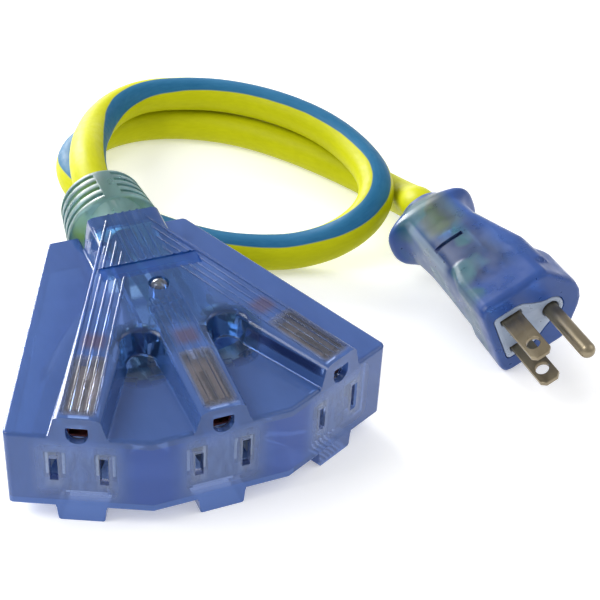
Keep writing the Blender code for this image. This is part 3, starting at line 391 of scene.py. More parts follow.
def offset_outline(outline, distance):
    """The outline pushed outward by a distance at every edge."""
    count = len(outline)
    area = sum(a.x * b.y - b.x * a.y for a, b in zip(outline, outline[1:] + outline[:1]))
    sign = 1.0 if area > 0 else -1.0
    moved = []
    for i in range(count):
        before = (outline[i] - outline[i - 1]).normalized()
        after = (outline[(i + 1) % count] - outline[i]).normalized()
        normal_a = Vector((before.y, -before.x)) * sign
        normal_b = Vector((after.y, -after.x)) * sign
        middle = (normal_a + normal_b).normalized()
        moved.append(outline[i] + middle * distance / max(0.5, middle.dot(normal_a)))
    return moved


def ring(centre, half_x, half_z, y):
    angles = [2 * math.pi * i / ROUND_SIDES for i in range(ROUND_SIDES)]
    return [(centre[0] + half_x * math.cos(a), y, centre[1] + half_z * math.sin(a)) for a in angles]


# ---- material helpers

class Look:
    """A Principled material with procedural variation laid over plain sockets."""

    def __init__(self, name, coordinates="Object", **sockets):
        self.material = bpy.data.materials.new(name)
        self.material.use_nodes = True
        self.nodes = self.material.node_tree.nodes
        self.shader = self.nodes["Principled BSDF"]
        self.place = self.node("TexCoord", coordinates)
        for socket, value in sockets.items():
            self.feed(value, socket.replace("_", " "))

    def put(self, value, socket):
        """Links a socket to another one, or sets its value."""
        if isinstance(value, bpy.types.NodeSocket):
            self.material.node_tree.links.new(value, socket)
        else:
            socket.default_value = (*value, 1.0) if socket.type == "RGBA" else value

    def node(self, kind, output, inputs=(), **settings):
        """Adds a node, links or sets the inputs with these identifiers, and returns one output."""
        made = self.nodes.new("ShaderNode" + kind)
        for setting, value in settings.items():
            setattr(made, setting, value)
        for socket in made.inputs:
            if socket.identifier in inputs:
                self.put(inputs[socket.identifier], socket)
        return next(socket for socket in made.outputs if socket.identifier == output)

    def feed(self, source, socket):
        self.put(source, self.shader.inputs[socket])

    def fed(self, socket):
        return self.shader.inputs[socket].links[0].from_socket

    def split(self, vector):
        return self.node("SeparateXYZ", "X", {"Vector": vector}).node.outputs

    def local(self, place=(0, 0, 0), turn=(0, 0, 0)):
        """Coordinates in a frame that stands somewhere in the object's."""
        inputs = {"Vector": self.place, "Location": place, "Rotation": turn}
        return self.split(self.node("Mapping", "Vector", inputs, vector_type="TEXTURE"))

    def noise(self, scale, detail=3.0, roughness=0.5, distortion=0.0, place=None):
        inputs = {"Vector": self.place if place is None else place, "Scale": scale, "Detail": detail,
                  "Roughness": roughness, "Distortion": distortion}
        return self.node("TexNoise", "Fac", inputs)

    def streaks(self, scale, detail=3.0, roughness=0.5, distortion=0.0):
        """Noise with its own scale along each axis."""
        place = self.node("Mapping", "Vector", {"Vector": self.place, "Scale": scale})
        return self.noise(1.0, detail, roughness, distortion, place)

    def ramp(self, source, stops, interpolation="LINEAR"):
        colour = self.node("ValToRGB", "Color", {"Fac": source})
        ramp = colour.node.color_ramp
        ramp.interpolation = interpolation
        while len(ramp.elements) < len(stops):
            ramp.elements.new(0.5)
        for element, (position, stop) in zip(ramp.elements, stops):
            element.position = position
            element.color = (*stop, 1.0)
        return colour

    def span(self, source, low, high, start=0.3, end=0.7):
        return self.node("MapRange", "Result", {"Value": source, "From Min": start, "From Max": end,
                                                "To Min": low, "To Max": high})

    def mix(self, factor, first, second):
        return self.node("Mix", "Result_Color", {"Factor_Float": factor, "A_Color": first, "B_Color": second},
                         data_type="RGBA")

    def math(self, operation, first, second=0.0):
        return self.node("Math", "Value", {"Value": first, "Value_001": second}, operation=operation)

    def product(self, first, *others):
        for other in others:
            first = self.math("MULTIPLY", first, other)
        return first

    def largest(self, first, *others):
        for other in others:
            first = self.math("MAXIMUM", first, other)
        return first

    def within(self, value, low, high, soft=0.3 * MM):
        """1 between two values, falling to 0 just outside them."""
        return self.product(self.span(value, 0.0, 1.0, low - soft, low),
                            self.span(value, 1.0, 0.0, high, high + soft))

    def region(self, *spans):
        """1 where each value is in its span (value, low, high, softness); masks may stand among them."""
        return self.product(*[self.within(*span) if isinstance(span, tuple) else span for span in spans])

    def blend(self, factor, low, high):
        return self.math("ADD", low, self.product(factor, self.math("SUBTRACT", high, low)))

    def gloss(self, source, low, high):
        self.feed(self.span(source, low, high), "Roughness")

    def paint(self, source, stops, interpolation="LINEAR"):
        self.feed(self.ramp(source, stops, interpolation), "Base Color")

    def tint(self, mask, colour):
        self.feed(self.mix(mask, self.fed("Base Color"), colour), "Base Color")

    def bump(self, source, distance, strength=1.0):
        """Adds to any bump that the shader has."""
        inputs = {"Height": source, "Distance": distance, "Strength": strength}
        if self.shader.inputs["Normal"].is_linked:
            inputs["Normal"] = self.fed("Normal")
        self.feed(self.node("Bump", "Normal", inputs), "Normal")


def vinyl(name, pale, deep, transmission, roughness, specular=0.38):
    """Translucent moulded vinyl: cloudy flow marks, a faint orange-peel surface and an uneven gloss."""
    look = Look(name, Transmission_Weight=transmission, IOR=1.47, Specular_IOR_Level=specular)
    cloud = look.noise(38.0, 4.0, 0.55, 0.8)
    flow = look.streaks((150.0, 45.0, 90.0), 3.0, 0.6, 0.3)
    both = look.math("ADD", look.product(cloud, 0.6), look.product(flow, 0.4))
    look.paint(both, [(0.32, deep), (0.68, pale)])
    look.gloss(look.noise(240.0, 2.0), roughness * 0.75, roughness * 1.3)
    look.bump(look.noise(500.0, 2.0), 0.000003, 0.5)
    return look


def metal(name, bright, dull, roughness, brushed=(2600.0, 160.0, 2600.0)):
    """Stamped metal: rolling marks along one direction, and a soft tarnish in blotches."""
    look = Look(name, Metallic=1.0)
    blotch = look.noise(90.0, 4.0, 0.6, 0.6)
    lines = look.streaks(brushed, 2.0)
    look.paint(blotch, [(0.35, dull), (0.65, bright)])
    look.gloss(lines, roughness * 0.8, roughness * 1.35)
    look.bump(lines, 0.000005, 0.35)
    return look


def insulation(name, colour, shade_colour):
    """Extruded conductor insulation."""
    look = Look(name, Roughness=0.42)
    look.paint(look.noise(160.0, 3.0), [(0.35, shade_colour), (0.65, colour)])
    look.gloss(look.noise(700.0, 2.0), 0.34, 0.5)
    look.bump(look.noise(1500.0, 2.0), 0.00002, 0.4)
    return look


# ---- materials

BLUE_PALE, BLUE_DEEP = (0.098, 0.200, 0.545), (0.074, 0.160, 0.46)
# The first colour on the next line is painted shade: the deeper blue of the recessed band across the plateau
BAND_SHADE, BLUE_CLEAR, CLEAR = (0.022, 0.100, 0.42), (0.36, 0.50, 0.86), (0.97, 0.98, 1.0)
BLUE_ROOM, BLUE_SHADE, BLUE_EDGE = (0.045, 0.135, 0.40), (0.030, 0.060, 0.23), (0.045, 0.115, 0.45)
PALE_CLEAR, PALE_SLOT, RUST = (0.42, 0.45, 0.57), (0.62, 0.72, 0.94), (0.12, 0.11, 0.23)
BODY_TRANSMISSION, CLEAR_TRANSMISSION, TAB_TRANSMISSION = 0.52, 0.95, 0.2
blue_vinyl = vinyl("blue_vinyl", BLUE_PALE, BLUE_DEEP, BODY_TRANSMISSION, 0.10)


def see_through(look, transmission, inner, windows, polish=0.4):
    """Windows of another tint and transmission, one over the other, and colourless, smoother inner walls."""
    colour = look.fed("Base Color")
    for mask, tint, clear in windows:
        colour = look.mix(mask, colour, tint)
        transmission = look.blend(mask, transmission, clear)
    look.feed(look.mix(inner, colour, CLEAR), "Base Color")
    look.feed(look.blend(inner, transmission, 1.0), "Transmission Weight")
    look.feed(look.product(look.fed("Roughness"), look.span(inner, 1.0, polish, 0.0, 1.0)), "Roughness")


def distance_to(look, first, second, centre, reach, soft):
    """1 within a distance of a point in a plane, falling to 0 just beyond it."""
    steps = [look.math("SUBTRACT", value, place) for value, place in zip((first, second), centre)]
    away = look.math("SQRT", look.math("ADD", *[look.product(step, step) for step in steps]))
    return look.within(away, -ANY, reach, soft)


def outlet_place(look, side):
    """Coordinates across an outlet, along it toward the apex, and upward."""
    return look.local(APEX, (0, 0, side * FAN_ANGLE))


def clear_block(look):
    """Colourless inner walls, and outer walls that are clearer or darker in places."""
    x, y, height = look.local(APEX)
    middle = look.math("ABSOLUTE", x)
    above = look.within(height, SLAB_TOP + 3.0 * MM, FAR, 1.5 * MM)
    low = look.within(height, CHAMBER_BOTTOM - 0.4 * MM, CHAMBER_TOP + 0.4 * MM)
    wing = polar(FAN_RADIUS / math.cos(FAN_ANGLE / 2), FAN_ANGLE * 1.5) - Vector((WING_REAR_HALF, WING_REAR_Y))
    wing.normalize()
    from_wing = look.math("ADD", look.product(middle, wing.y), look.product(y, -wing.x))
    rim = WING_REAR_HALF * wing.y - WING_REAR_Y * wing.x
    inner = [look.region(low, (from_wing, rim + 1.5 * MM, ANY), (y, -FAR, -0.5 * MM))]
    crown = look.region((middle, -ANY, CROWN_HALF + 0.2 * MM), (height, CHAMBER_TOP, CROWN_TOP + 0.2 * MM),
                        (y, CROWN_FRONT_Y - 0.2 * MM, -0.5 * MM))
    lamp_room = look.region(above, (middle, -ANY, 9.0 * MM, 4.0 * MM), (y, -47.0 * MM, -28.0 * MM, 4.0 * MM))
    neck_room = look.region(above, (middle, -ANY, 8.0 * MM, 4.0 * MM), (y, -20.0 * MM, FAR, 2 * MM))
    pockets = distance_to(look, middle, y, POCKET_CENTRE, 5.5 * MM, 4.0 * MM)
    tabs = look.region((height, -FAR, SLAB_BOTTOM + 2.5 * MM), (x, -FAR, 20.0 * MM))
    windows = [(lamp_room, BLUE_ROOM, 0.64), (neck_room, BLUE_ROOM, 0.62), (pockets, BLUE_ROOM, 0.85),
               (tabs, BLUE_DEEP, TAB_TRANSMISSION)]
    ribs = []
    for side in SIDES:
        offset, axial, _ = outlet_place(look, side)
        offset = look.math("ABSOLUTE", offset)
        axial = look.product(axial, -1.0)
        inner.append(look.within(axial, -FAR, FAN_RADIUS - FRONT_WALL + 0.5 * MM))
        ribs.append(look.region((offset, -ANY, INSERT_CROWN_HALF + 0.5 * MM),
                                (height, CHAMBER_TOP, INSERT_CROWN_TOP + 0.5 * MM),
                                (axial, -CROWN_POCKET_REAR_Y - 0.5 * MM, FAN_RADIUS - FRONT_WALL + 0.3 * MM)))
        contact = look.region(above, (offset, -ANY, 3.2 * MM, 1.6 * MM),
                              (axial, 62.0 * MM, 79.5 * MM, 2.5 * MM))
        rust = look.region(above, (offset, -ANY, 2.0 * MM, 2.0 * MM), (axial, 53.0 * MM, 56.0 * MM, 2.5 * MM))
        face = look.region((offset, -ANY, 9.0 * MM, 3.5 * MM), (axial, 80.4 * MM, ANY),
                           (height, INSERT_BOTTOM + 2 * MM, INSERT_TOP - 2 * MM, 4 * MM))
        slots = look.region((offset, 5.0 * MM, 7.7 * MM, 1.2 * MM), (axial, 79.5 * MM, ANY),
                            (height, 12.5 * MM, 22.4 * MM, 1.5 * MM))
        windows += [(contact, PALE_CLEAR, CLEAR_TRANSMISSION), (rust, RUST, 0.4),
                    (look.product(face, 0.5), BLUE_CLEAR, CLEAR_TRANSMISSION),
                    (look.product(slots, 0.45), PALE_SLOT, 0.9)]
    corner = polar(FAN_RADIUS / math.cos(FAN_ANGLE / 2), FAN_ANGLE / 2)
    corners = look.product(distance_to(look, middle, y, corner, 4.0 * MM, 6.0 * MM), low)
    windows.append((corners, BLUE_EDGE, 0.35))
    for side, outboard, bottom, rear in ((-1, 1, SLAB_TOP + 0.8 * MM, 25.0 * MM),
                                         (1, -1, SLAB_TOP + 3.2 * MM, 58.0 * MM)):
        offset, axial, _ = outlet_place(look, side)
        shadow = look.region((look.product(offset, side * outboard), RIB_HALF - 0.1 * MM, 9.0 * MM),
                             (height, bottom, CROWN_TOP + 2.5 * MM, 0.6 * MM),
                             (axial, -79.0 * MM, -rear, 4.0 * MM))
        windows.append((shadow, BLUE_SHADE, 0.7))
    see_through(look, BODY_TRANSMISSION, look.largest(look.product(*inner), crown, *ribs), windows)
    # Painted shade: the recessed band across the plateau is tinted a deeper blue
    band = look.region(above, (y, BAND_FRONT_Y, BAND_REAR_Y), (middle, -ANY, BAND_HALF))
    look.tint(band, BAND_SHADE)


clear_block(blue_vinyl)

PLUG_TRANSMISSION = 0.44
WIRE_BLUE, JACKET_OLIVE, PATCH_TEAL = (0.016, 0.062, 0.24), (0.15, 0.25, 0.22), (0.035, 0.20, 0.27)
# The last colour on the next line is painted shade for the grip's slot marks
# The middle colour on the next line is a painted highlight along one edge of the grip
FLANK_BLUE, EDGE_HIGHLIGHT, SLOT_SHADE = (0.22, 0.29, 0.44), (0.55, 0.66, 0.76), (0.022, 0.042, 0.13)
plug_vinyl = vinyl("plug_vinyl", (0.046, 0.128, 0.45), (0.032, 0.098, 0.37), PLUG_TRANSMISSION, 0.34, 0.25)


def clear_plug(look):
    """The grip is clearer over its wires and over the jacket's end, has a painted highlight along one edge, and
    has painted shade in its slot marks.
    """
    along, across, up = look.local(PLUG_FACE + APEX, tuple(PLUG_TURN))
    across = look.math("ABSOLUTE", across)
    hollow = look.region((along, -38.0 * MM, -CARRIER_DEPTH - GAP - 0.3 * MM), (across, -ANY, 10.2 * MM),
                         (up, -4.6 * MM, 15.1 * MM))
    bore = look.region((along, PLUG_REAR + 0.5 * MM, -30.0 * MM),
                       distance_to(look, across, up, (0.0, PLUG_AXIS_Z), 5.2 * MM, 0.3 * MM))
    wires = look.region((along, -34.0 * MM, -14.0 * MM, 5.0 * MM), (up, -5.0 * MM, 7.0 * MM, 4.0 * MM))
    jacket_end = look.region((along, -54.0 * MM, -38.0 * MM, 3.0 * MM), (up, -2.5 * MM, 5.5 * MM, 4.0 * MM))
    patches = look.region(look.span(look.noise(75.0, 1.0, 0.5, 0.3), 0.0, 0.9, 0.50, 0.58),
                          (along, -54.0 * MM, -8.0 * MM, 4.0 * MM), (up, -8.0 * MM, 3.0 * MM, 4.0 * MM))
    flank = look.region((up, -FAR, -7.0 * MM, 0.8 * MM), (along, -44.0 * MM, -6.0 * MM, 5 * MM))
    # Painted highlight: a pale line along the edge between the broad face and the lower flank
    edge = look.region((up, -7.0 * MM, -5.8 * MM, 0.7 * MM), (along, -46.0 * MM, -26.0 * MM, 3 * MM))
    see_through(look, PLUG_TRANSMISSION, look.largest(hollow, bore), [
        (wires, WIRE_BLUE, 0.66), (look.product(jacket_end, 0.9), JACKET_OLIVE, 0.93),
        (patches, PATCH_TEAL, 0.62), (look.product(flank, 0.5), FLANK_BLUE, 0.6),
        (look.product(edge, 0.6), EDGE_HIGHLIGHT, 0.5)], 1.0)
    # Painted shade: the slot marks are tinted dark blue and made less clear
    slot_shade = look.region((along, *GRIP_MARK[0]), (up, *GRIP_MARK[1]), (across, GRIP_MARK_FLOOR - 0.3 * MM, ANY))
    look.tint(slot_shade, SLOT_SHADE)
    look.feed(look.product(look.fed("Transmission Weight"), look.span(slot_shade, 1.0, 0.2, 0.0, 1.0)),
              "Transmission Weight")


clear_plug(plug_vinyl)
teal_vinyl = vinyl("teal_vinyl", (0.31, 0.53, 0.55), (0.21, 0.41, 0.43), 0.80, 0.36)
insert_look = vinyl("insert_plastic", (0.62, 0.79, 1.0), (0.35, 0.53, 0.90), 0.62, 0.12)


def clear_insert(look):
    """Cloudy round the slots, with upright streaks, and clear in the crown over the ground contact."""
    height = look.local()["Z"]
    crown = look.within(height, SLAB_TOP - 1.0 * MM, ANY, 1.0 * MM)
    streaks = look.span(look.streaks((420.0, 420.0, 110.0), 3.0, 0.6, 0.5), 0.35, 0.85)
    look.tint(crown, (0.93, 0.94, 0.97))
    look.feed(look.largest(streaks, look.product(crown, 0.97)), "Transmission Weight")


clear_insert(insert_look)

brass = metal("brass", (0.72, 0.57, 0.37), (0.50, 0.38, 0.24), 0.30)
pale_brass = metal("pale_brass", (0.80, 0.75, 0.66), (0.66, 0.60, 0.50), 0.32)
ground_copper = metal("ground_copper", (0.66, 0.48, 0.34), (0.50, 0.34, 0.23), 0.34)
MOUTH_RED = (0.085, 0.022, 0.018)


def dark_mouths(look):
    """The ground contacts' mouths are tinted a dark red-brown."""
    mouths = []
    for side in SIDES:
        offset, axial, _ = outlet_place(look, side)
        mouths.append(look.region((offset, -RIB_HALF, RIB_HALF), (axial, -FAR, -77.8 * MM)))
    look.tint(look.largest(*mouths), MOUTH_RED)


dark_mouths(ground_copper)
nickel = metal("nickel", (0.335, 0.285, 0.20), (0.24, 0.20, 0.135), 0.36, (900.0, 90.0, 900.0))
tinned = metal("tinned", (0.78, 0.77, 0.75), (0.62, 0.60, 0.56), 0.30)

nylon = Look("nylon", Transmission_Weight=0.35, IOR=1.5, Roughness=0.34)
nylon.paint(nylon.noise(90.0, 4.0, 0.6), [(0.3, (0.44, 0.54, 0.72)), (0.7, (0.54, 0.64, 0.82))])
nylon.gloss(nylon.noise(500.0, 2.0), 0.26, 0.42)
nylon.bump(nylon.noise(1200.0, 2.0), 0.00002, 0.4)

black_wire = insulation("black_wire", (0.035, 0.035, 0.04), (0.015, 0.015, 0.018))
white_wire = insulation("white_wire", (0.36, 0.42, 0.52), (0.28, 0.34, 0.44))
green_wire = insulation("green_wire", (0.02, 0.36, 0.17), (0.01, 0.24, 0.11))

resistor_look = Look("resistor_look", Roughness=0.5)
RESISTOR_LOW, RESISTOR_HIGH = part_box("lamp_resistor")
along = resistor_look.span(resistor_look.split(resistor_look.place)["Z"], 0.0, 1.0,
                           RESISTOR_LOW.z, RESISTOR_HIGH.z)
TAN, BROWN, ORANGE, BLACK = (0.62, 0.46, 0.26), (0.30, 0.08, 0.03), (0.55, 0.18, 0.02), (0.02, 0.02, 0.02)
BANDS = [(0.0, TAN), (0.22, BROWN), (0.32, TAN), (0.45, ORANGE), (0.55, TAN), (0.72, BLACK), (0.80, TAN)]
resistor_look.paint(along, BANDS, "CONSTANT")
resistor_look.tint(resistor_look.span(resistor_look.noise(900.0), 0.0, 0.25), (0.35, 0.25, 0.15))
resistor_look.bump(resistor_look.noise(1500.0), 0.00002, 0.4)

lens_look = Look("lens_look", Transmission_Weight=0.95, IOR=1.5, Base_Color=(0.90, 0.92, 0.94))
lens_look.gloss(lens_look.noise(500.0), 0.02, 0.08)
lens_look.bump(lens_look.noise(1500.0), 0.00001, 0.3)

jacket_look = Look("jacket_look", "UV", IOR=1.47, Specular_IOR_Level=0.12)
JACKET_STRIPE_HALF = 0.095


def make_jacket_look():
    """Lime vinyl with one blue stripe along it: u runs once round the jacket from the stripe's back."""
    look = jacket_look
    solid = look.node("TexCoord", "Object")
    wander = look.noise(45.0, 2.0, place=solid)
    away = look.math("ABSOLUTE", look.math("SUBTRACT", look.math("ADD", look.split(look.place)["X"],
                     look.span(wander, -0.008, 0.008)), 0.5))
    edge = look.span(away, 1.0, 0.0, JACKET_STRIPE_HALF - 0.006, JACKET_STRIPE_HALF + 0.006)
    streak = look.streaks((40.0, 9.0, 1.0))
    blotch = look.noise(70.0, 3.0, place=solid)
    both = look.math("ADD", look.product(streak, 0.5), look.product(blotch, 0.5))
    lime = look.ramp(both, [(0.3, (0.465, 0.48, 0.003)), (0.7, (0.555, 0.565, 0.005))])
    blue = look.ramp(both, [(0.3, (0.014, 0.115, 0.24)), (0.7, (0.028, 0.155, 0.30))])
    look.feed(look.mix(edge, lime, blue), "Base Color")
    look.gloss(look.noise(420.0, 3.0, place=solid), 0.36, 0.52)
    look.bump(look.streaks((260.0, 60.0, 1.0), 2.0), 0.00005, 0.35)
    look.bump(look.noise(1800.0, 2.0, place=solid), 0.00002, 0.5)


make_jacket_look()
fine_jacket = insulation("fine_jacket", (0.52, 0.55, 0.012), (0.42, 0.45, 0.008))


# ---- camera, light and floor

CAMERA_PLACE, CAMERA_TURN = (-0.09886, -0.31180, 0.27934), (0.91874, -0.04484, -0.39408)
CAMERA_LENS, CAMERA_SENSOR = 89.51, 36
LIGHTS = {      # place, what it points at, width and height in metres, and watts
    "key_light": ((-0.55, 0.10, 0.62), (0, 0, 0.02), (0.45, 0.45), 3.2),
    "fill_light": ((0.7, -0.3, 0.6), (0, 0, 0), (0.6, 0.6), 1.5),
    "edge_light": ((-0.18, 1.0, 0.34), (0, 0, 0.03), (0.50, 0.54), 14.0),
}


def make_camera():
    data = bpy.data.cameras.new("camera")
    data.lens = CAMERA_LENS
    data.sensor_width = CAMERA_SENSOR
    camera = bpy.data.objects.new("camera", data)
    camera.location = CAMERA_PLACE
    camera.rotation_euler = CAMERA_TURN
    bpy.context.scene.collection.objects.link(camera)
    bpy.context.scene.camera = camera


def make_studio():
    for name, (place, target, size, power) in LIGHTS.items():
        data = bpy.data.lights.new(name, "AREA")
        data.energy = power
        data.shape = "RECTANGLE"
        data.size, data.size_y = size
        lamp = bpy.data.objects.new(name, data)
        lamp.location = place
        lamp.rotation_euler = (Vector(target) - Vector(place)).to_track_quat("-Z", "Y").to_euler()
        bpy.context.scene.collection.objects.link(lamp)
    world = bpy.data.worlds.new("studio")
    world.use_nodes = True
    world.node_tree.nodes["Background"].inputs["Color"].default_value = (1, 1, 1, 1)
    world.node_tree.nodes["Background"].inputs["Strength"].default_value = 0.6
    bpy.context.scene.world = world
    bpy.context.scene.view_settings.view_transform = "Standard"
    bm = bmesh.new()
    bmesh.ops.create_grid(bm, x_segments=8, y_segments=8, size=3.0)
    floor = new_object(bm, "studio_floor")
    look = Look("floor_look", Roughness=0.6, Emission_Color=(1.0, 1.0, 1.0), Emission_Strength=0.33)
    look.paint(look.noise(6.0, 3.0), [(0.3, (0.89, 0.89, 0.89)), (0.7, (0.91, 0.91, 0.91))])
    floor.data.materials.append(look.material)


# ---- cord

CORD_RINGS = 360
CORD_SIDES = 40
CORD_PATH_SAMPLES = 78
CORD_END_EASE = (0.55 * MM, 0.15 * MM)  # how much smaller the jacket's last rings are
CORD_PATTERN_LENGTH = 0.036             # of cord to one unit of V
# Turn of the stripe round the jacket: share of the cord's length, and degrees from straight up toward the
# inside of its loops
STRIPE_TURN = (
    (0.0, 106.0), (0.05, 98.0), (0.085, 86.0), (0.12, 62.0), (0.155, 36.0), (0.19, 18.0), (0.23, 8.0),
    (0.28, 3.0), (0.33, -4.0), (0.38, -18.0), (0.42, -18.0), (0.46, -8.0), (0.52, -2.0), (0.60, 0.0),
    (0.645, -10.0), (0.69, -70.0), (0.73, -98.0), (0.84, -115.0), (1.0, -150.0),
)


def cord_points():
    points = [Vector(p) * MM + APEX for p in CORD_ROUTE]
    for back in (PLUG_STRAIGHT, GAP):
        points.append(PLUG_MATRIX @ Vector((PLUG_REAR - back, 0, PLUG_AXIS_Z)))
    return points


def make_cord():
    path = smooth_route(cord_points(), CORD_PATH_SAMPLES)
    fine = smooth_route(path, CORD_RINGS)
    turns = np.interp(np.linspace(0.0, 1.0, len(fine)), *zip(*STRIPE_TURN))
    reach = len(fine) // 45
    turns = np.convolve(np.pad(turns, reach, mode="edge"), np.full(2 * reach + 1, 1 / (2 * reach + 1)), "valid")
    bm = bmesh.new()
    uv = bm.loops.layers.uv.new("UVMap")
    radius = CORD_DIAMETER / 2
    rings = []
    for i, centre in enumerate(fine):
        along = (fine[min(i + 1, len(fine) - 1)] - fine[max(i - 1, 0)]).normalized()
        up = (Vector((0, 0, 1)) - along * along.z).normalized()
        inward = along.cross(up)
        turn = math.radians(float(turns[i])) + math.pi
        near_end = min(i, len(fine) - 1 - i)
        size = radius - (CORD_END_EASE[near_end] if near_end < len(CORD_END_EASE) else 0.0)
        angles = [turn + 2 * math.pi * k / CORD_SIDES for k in range(CORD_SIDES)]
        rings.append([bm.verts.new(centre + (up * math.cos(a) + inward * math.sin(a)) * size) for a in angles])
    length_step = CORD_LENGTH / (len(fine) - 1)
    for i, (first, second) in enumerate(zip(rings[:-1], rings[1:])):
        for k in range(CORD_SIDES):
            j = (k + 1) % CORD_SIDES
            face = bm.faces.new((first[k], first[j], second[j], second[k]))
            for loop, (du, dv) in zip(face.loops, ((0, 0), (1, 0), (1, 1), (0, 1))):
                loop[uv].uv = ((k + du) / CORD_SIDES, (i + dv) * length_step / CORD_PATTERN_LENGTH)
    bm.faces.new(rings[0])
    bm.faces.new(rings[-1])
    made = shade(new_object(bm), 50)
    publish(made, "jacket", jacket_look, "cord_vinyl", "cord_jacket")
    return made, path


# ---- block

def slab_outline():
    corner = FAN_RADIUS / math.cos(FAN_ANGLE / 2)
    right = [polar(corner, FAN_ANGLE * 0.5), polar(corner, FAN_ANGLE * 1.5),
             Vector((WING_REAR_HALF, WING_REAR_Y)), Vector((NOTCH_HALF, WING_REAR_Y)),
             Vector((NOTCH_HALF, NECK_REAR_Y))]
    return right + mirror(right)


def rib_outline(front):
    """Common root of the three ribs, the ribs themselves and the rounded pockets between them."""
    half = [Vector((NECK_HALF, NECK_REAR_Y + 3 * MM)), Vector((NECK_HALF, NECK_FRONT_Y)),
            rib_point(1, front, RIB_HALF), rib_point(1, front, -RIB_HALF)]
    start = math.atan2(-math.sin(FAN_ANGLE), math.cos(FAN_ANGLE)) + math.radians(22)
    for step in range(POCKET_STEPS + 1):
        angle = start + (math.pi - start) * step / POCKET_STEPS
        half.append(POCKET_CENTRE + Vector((math.cos(angle), math.sin(angle))) * POCKET_RADIUS)
    half.append(Vector((RIB_HALF, -front)))
    return half + mirror(half)


def trim_ribs(ribs):
    """Cuts the ribs off just behind the outlet faces and at the neck."""
    front = -FAN_RADIUS + RIB_SETBACK
    for side in SIDES:
        boolean(ribs, move(box((-FAR, front - FAR, -FAR), (FAR, front, FAR)), fan(side)))
    boolean(ribs, box((-FAR, NECK_REAR_Y - RIB_SETBACK, -FAR), (FAR, FAR, FAR)))


def rib_body(upper):
    """Three ribs with rounded crests and a soft fillet at their feet."""
    outline = rib_outline(FAN_RADIUS + 3 * CUT_MARGIN)
    (across, drop), fillet, flare = CREST_ROUND[upper], FOOT_FILLET[upper], FLARE[upper]
    rows = [(flare + fillet, -CUT_MARGIN, False), (flare + fillet, 0.0, False)]
    rows += [(flare + fillet * (1 - math.sin(a)), fillet * (1 - math.cos(a)), False) for a in quarter(4)[1:]]
    rows += [(0.1 * MM - across * (1 - math.cos(a)), -drop * (1 - math.sin(a)), True) for a in quarter(8)]

    def height(y, rise, at_crest):
        if upper:
            return (crest_height(y) if at_crest else SLAB_TOP) + rise
        return (0.0 if at_crest else SLAB_BOTTOM) - rise

    return loft([[(p.x, p.y, height(p.y, rise, at_crest)) for p in offset_outline(outline, offset)]
                 for offset, rise, at_crest in rows])


def ridge(side, offset, start, end):
    """One low rounded ridge along an outlet's axis, sunk a little into the crest below it."""
    lead, sink = 0.5 * MM, 0.4 * MM
    half = [(-RIDGE_HALF * 1.25, -sink), (-RIDGE_HALF, 0.0), (-RIDGE_HALF * 0.86, RIDGE_HEIGHT * 0.62),
            (-RIDGE_HALF * 0.45, RIDGE_HEIGHT * 0.95)]
    profile = half + [(-across, up) for across, up in reversed(half)]
    sections = []
    for distance, share in ((start, 1.0), (end - lead, 1.0), (end, 0.3)):
        plan = [rib_point(side, distance, offset + across) for across, _ in profile]
        sections.append([(p.x, p.y, crest_height(p.y) + (up * share if up > 0 else up))
                         for p, (_, up) in zip(plan, profile)])
    return loft(sections)


def make_ridges():
    """Ridges on the upper ribs: the outer ribs' stop beside the centre rib's, which the lamp interrupts."""
    rear, reach = NECK_REAR_Y - 2 * RIB_SETBACK, NECK_HALF - CREST_ROUND[True][0]
    outer = join([ridge(side, offset, -4.0 * MM, RIDGE_FRONT) for side in (-1, 1) for offset in RIDGE_OFFSETS])
    boolean(outer, box((-CENTRE_BAND_HALF, -FAR, -FAR), (CENTRE_BAND_HALF, FAR, FAR)),
            box((-FAR, rear, -FAR), (FAR, FAR, FAR)),
            box((-FAR, -1.5 * MM, -FAR), (-reach, FAR, FAR)), box((reach, -1.5 * MM, -FAR), (FAR, FAR, FAR)),
            band_cutter())
    centre = [ridge(0, offset, start, end) for offset in RIDGE_OFFSETS
              for start, end in ((-rear, -BAND_REAR_Y - 0.2 * MM), (-LAMP_CLEAR_Y, RIDGE_FRONT))]
    return join([outer, *centre])


def band_cutter():
    """The smooth band across the plateau, a little below it."""
    corners = ((-BAND_HALF, 0.0), (BAND_HALF, 0.0), (BAND_HALF, 3 * MM), (-BAND_HALF, 3 * MM))
    return loft([[(x, y, crest_height(y) - BAND_DEPTH + up) for x, up in corners]
                 for y in (BAND_REAR_Y, BAND_FRONT_Y)])


def make_grooves():
    """Grooves under the lower right rib leave ridges; the other two lower ribs are smooth."""
    offsets = [index * GROOVE_PITCH for index in range(-3, 4)]
    return join([move(box((offset - GROOVE_HALF, GROOVE_FRONT, -CUT_MARGIN),
                          (offset + GROOVE_HALF, GROOVE_REAR, GROOVE_DEPTH)), fan(1)) for offset in offsets])


def ground_opening(start, end):
    """Round below and flat on top, standing across an outlet's axis."""
    radius = GROUND_HOLE / 2
    angles = [math.pi * (1 + i / 20) for i in range(21)]
    outline = [(radius * math.cos(a), radius * math.sin(a)) for a in angles]
    outline += [(radius, radius * 0.68), (radius * 0.93, radius * 0.8), (-radius * 0.93, radius * 0.8),
                (-radius, radius * 0.68)]
    z = SLOT_Z + GROUND_RISE
    return loft([[(x, y, z + up) for x, up in outline] for y in (start, end)])


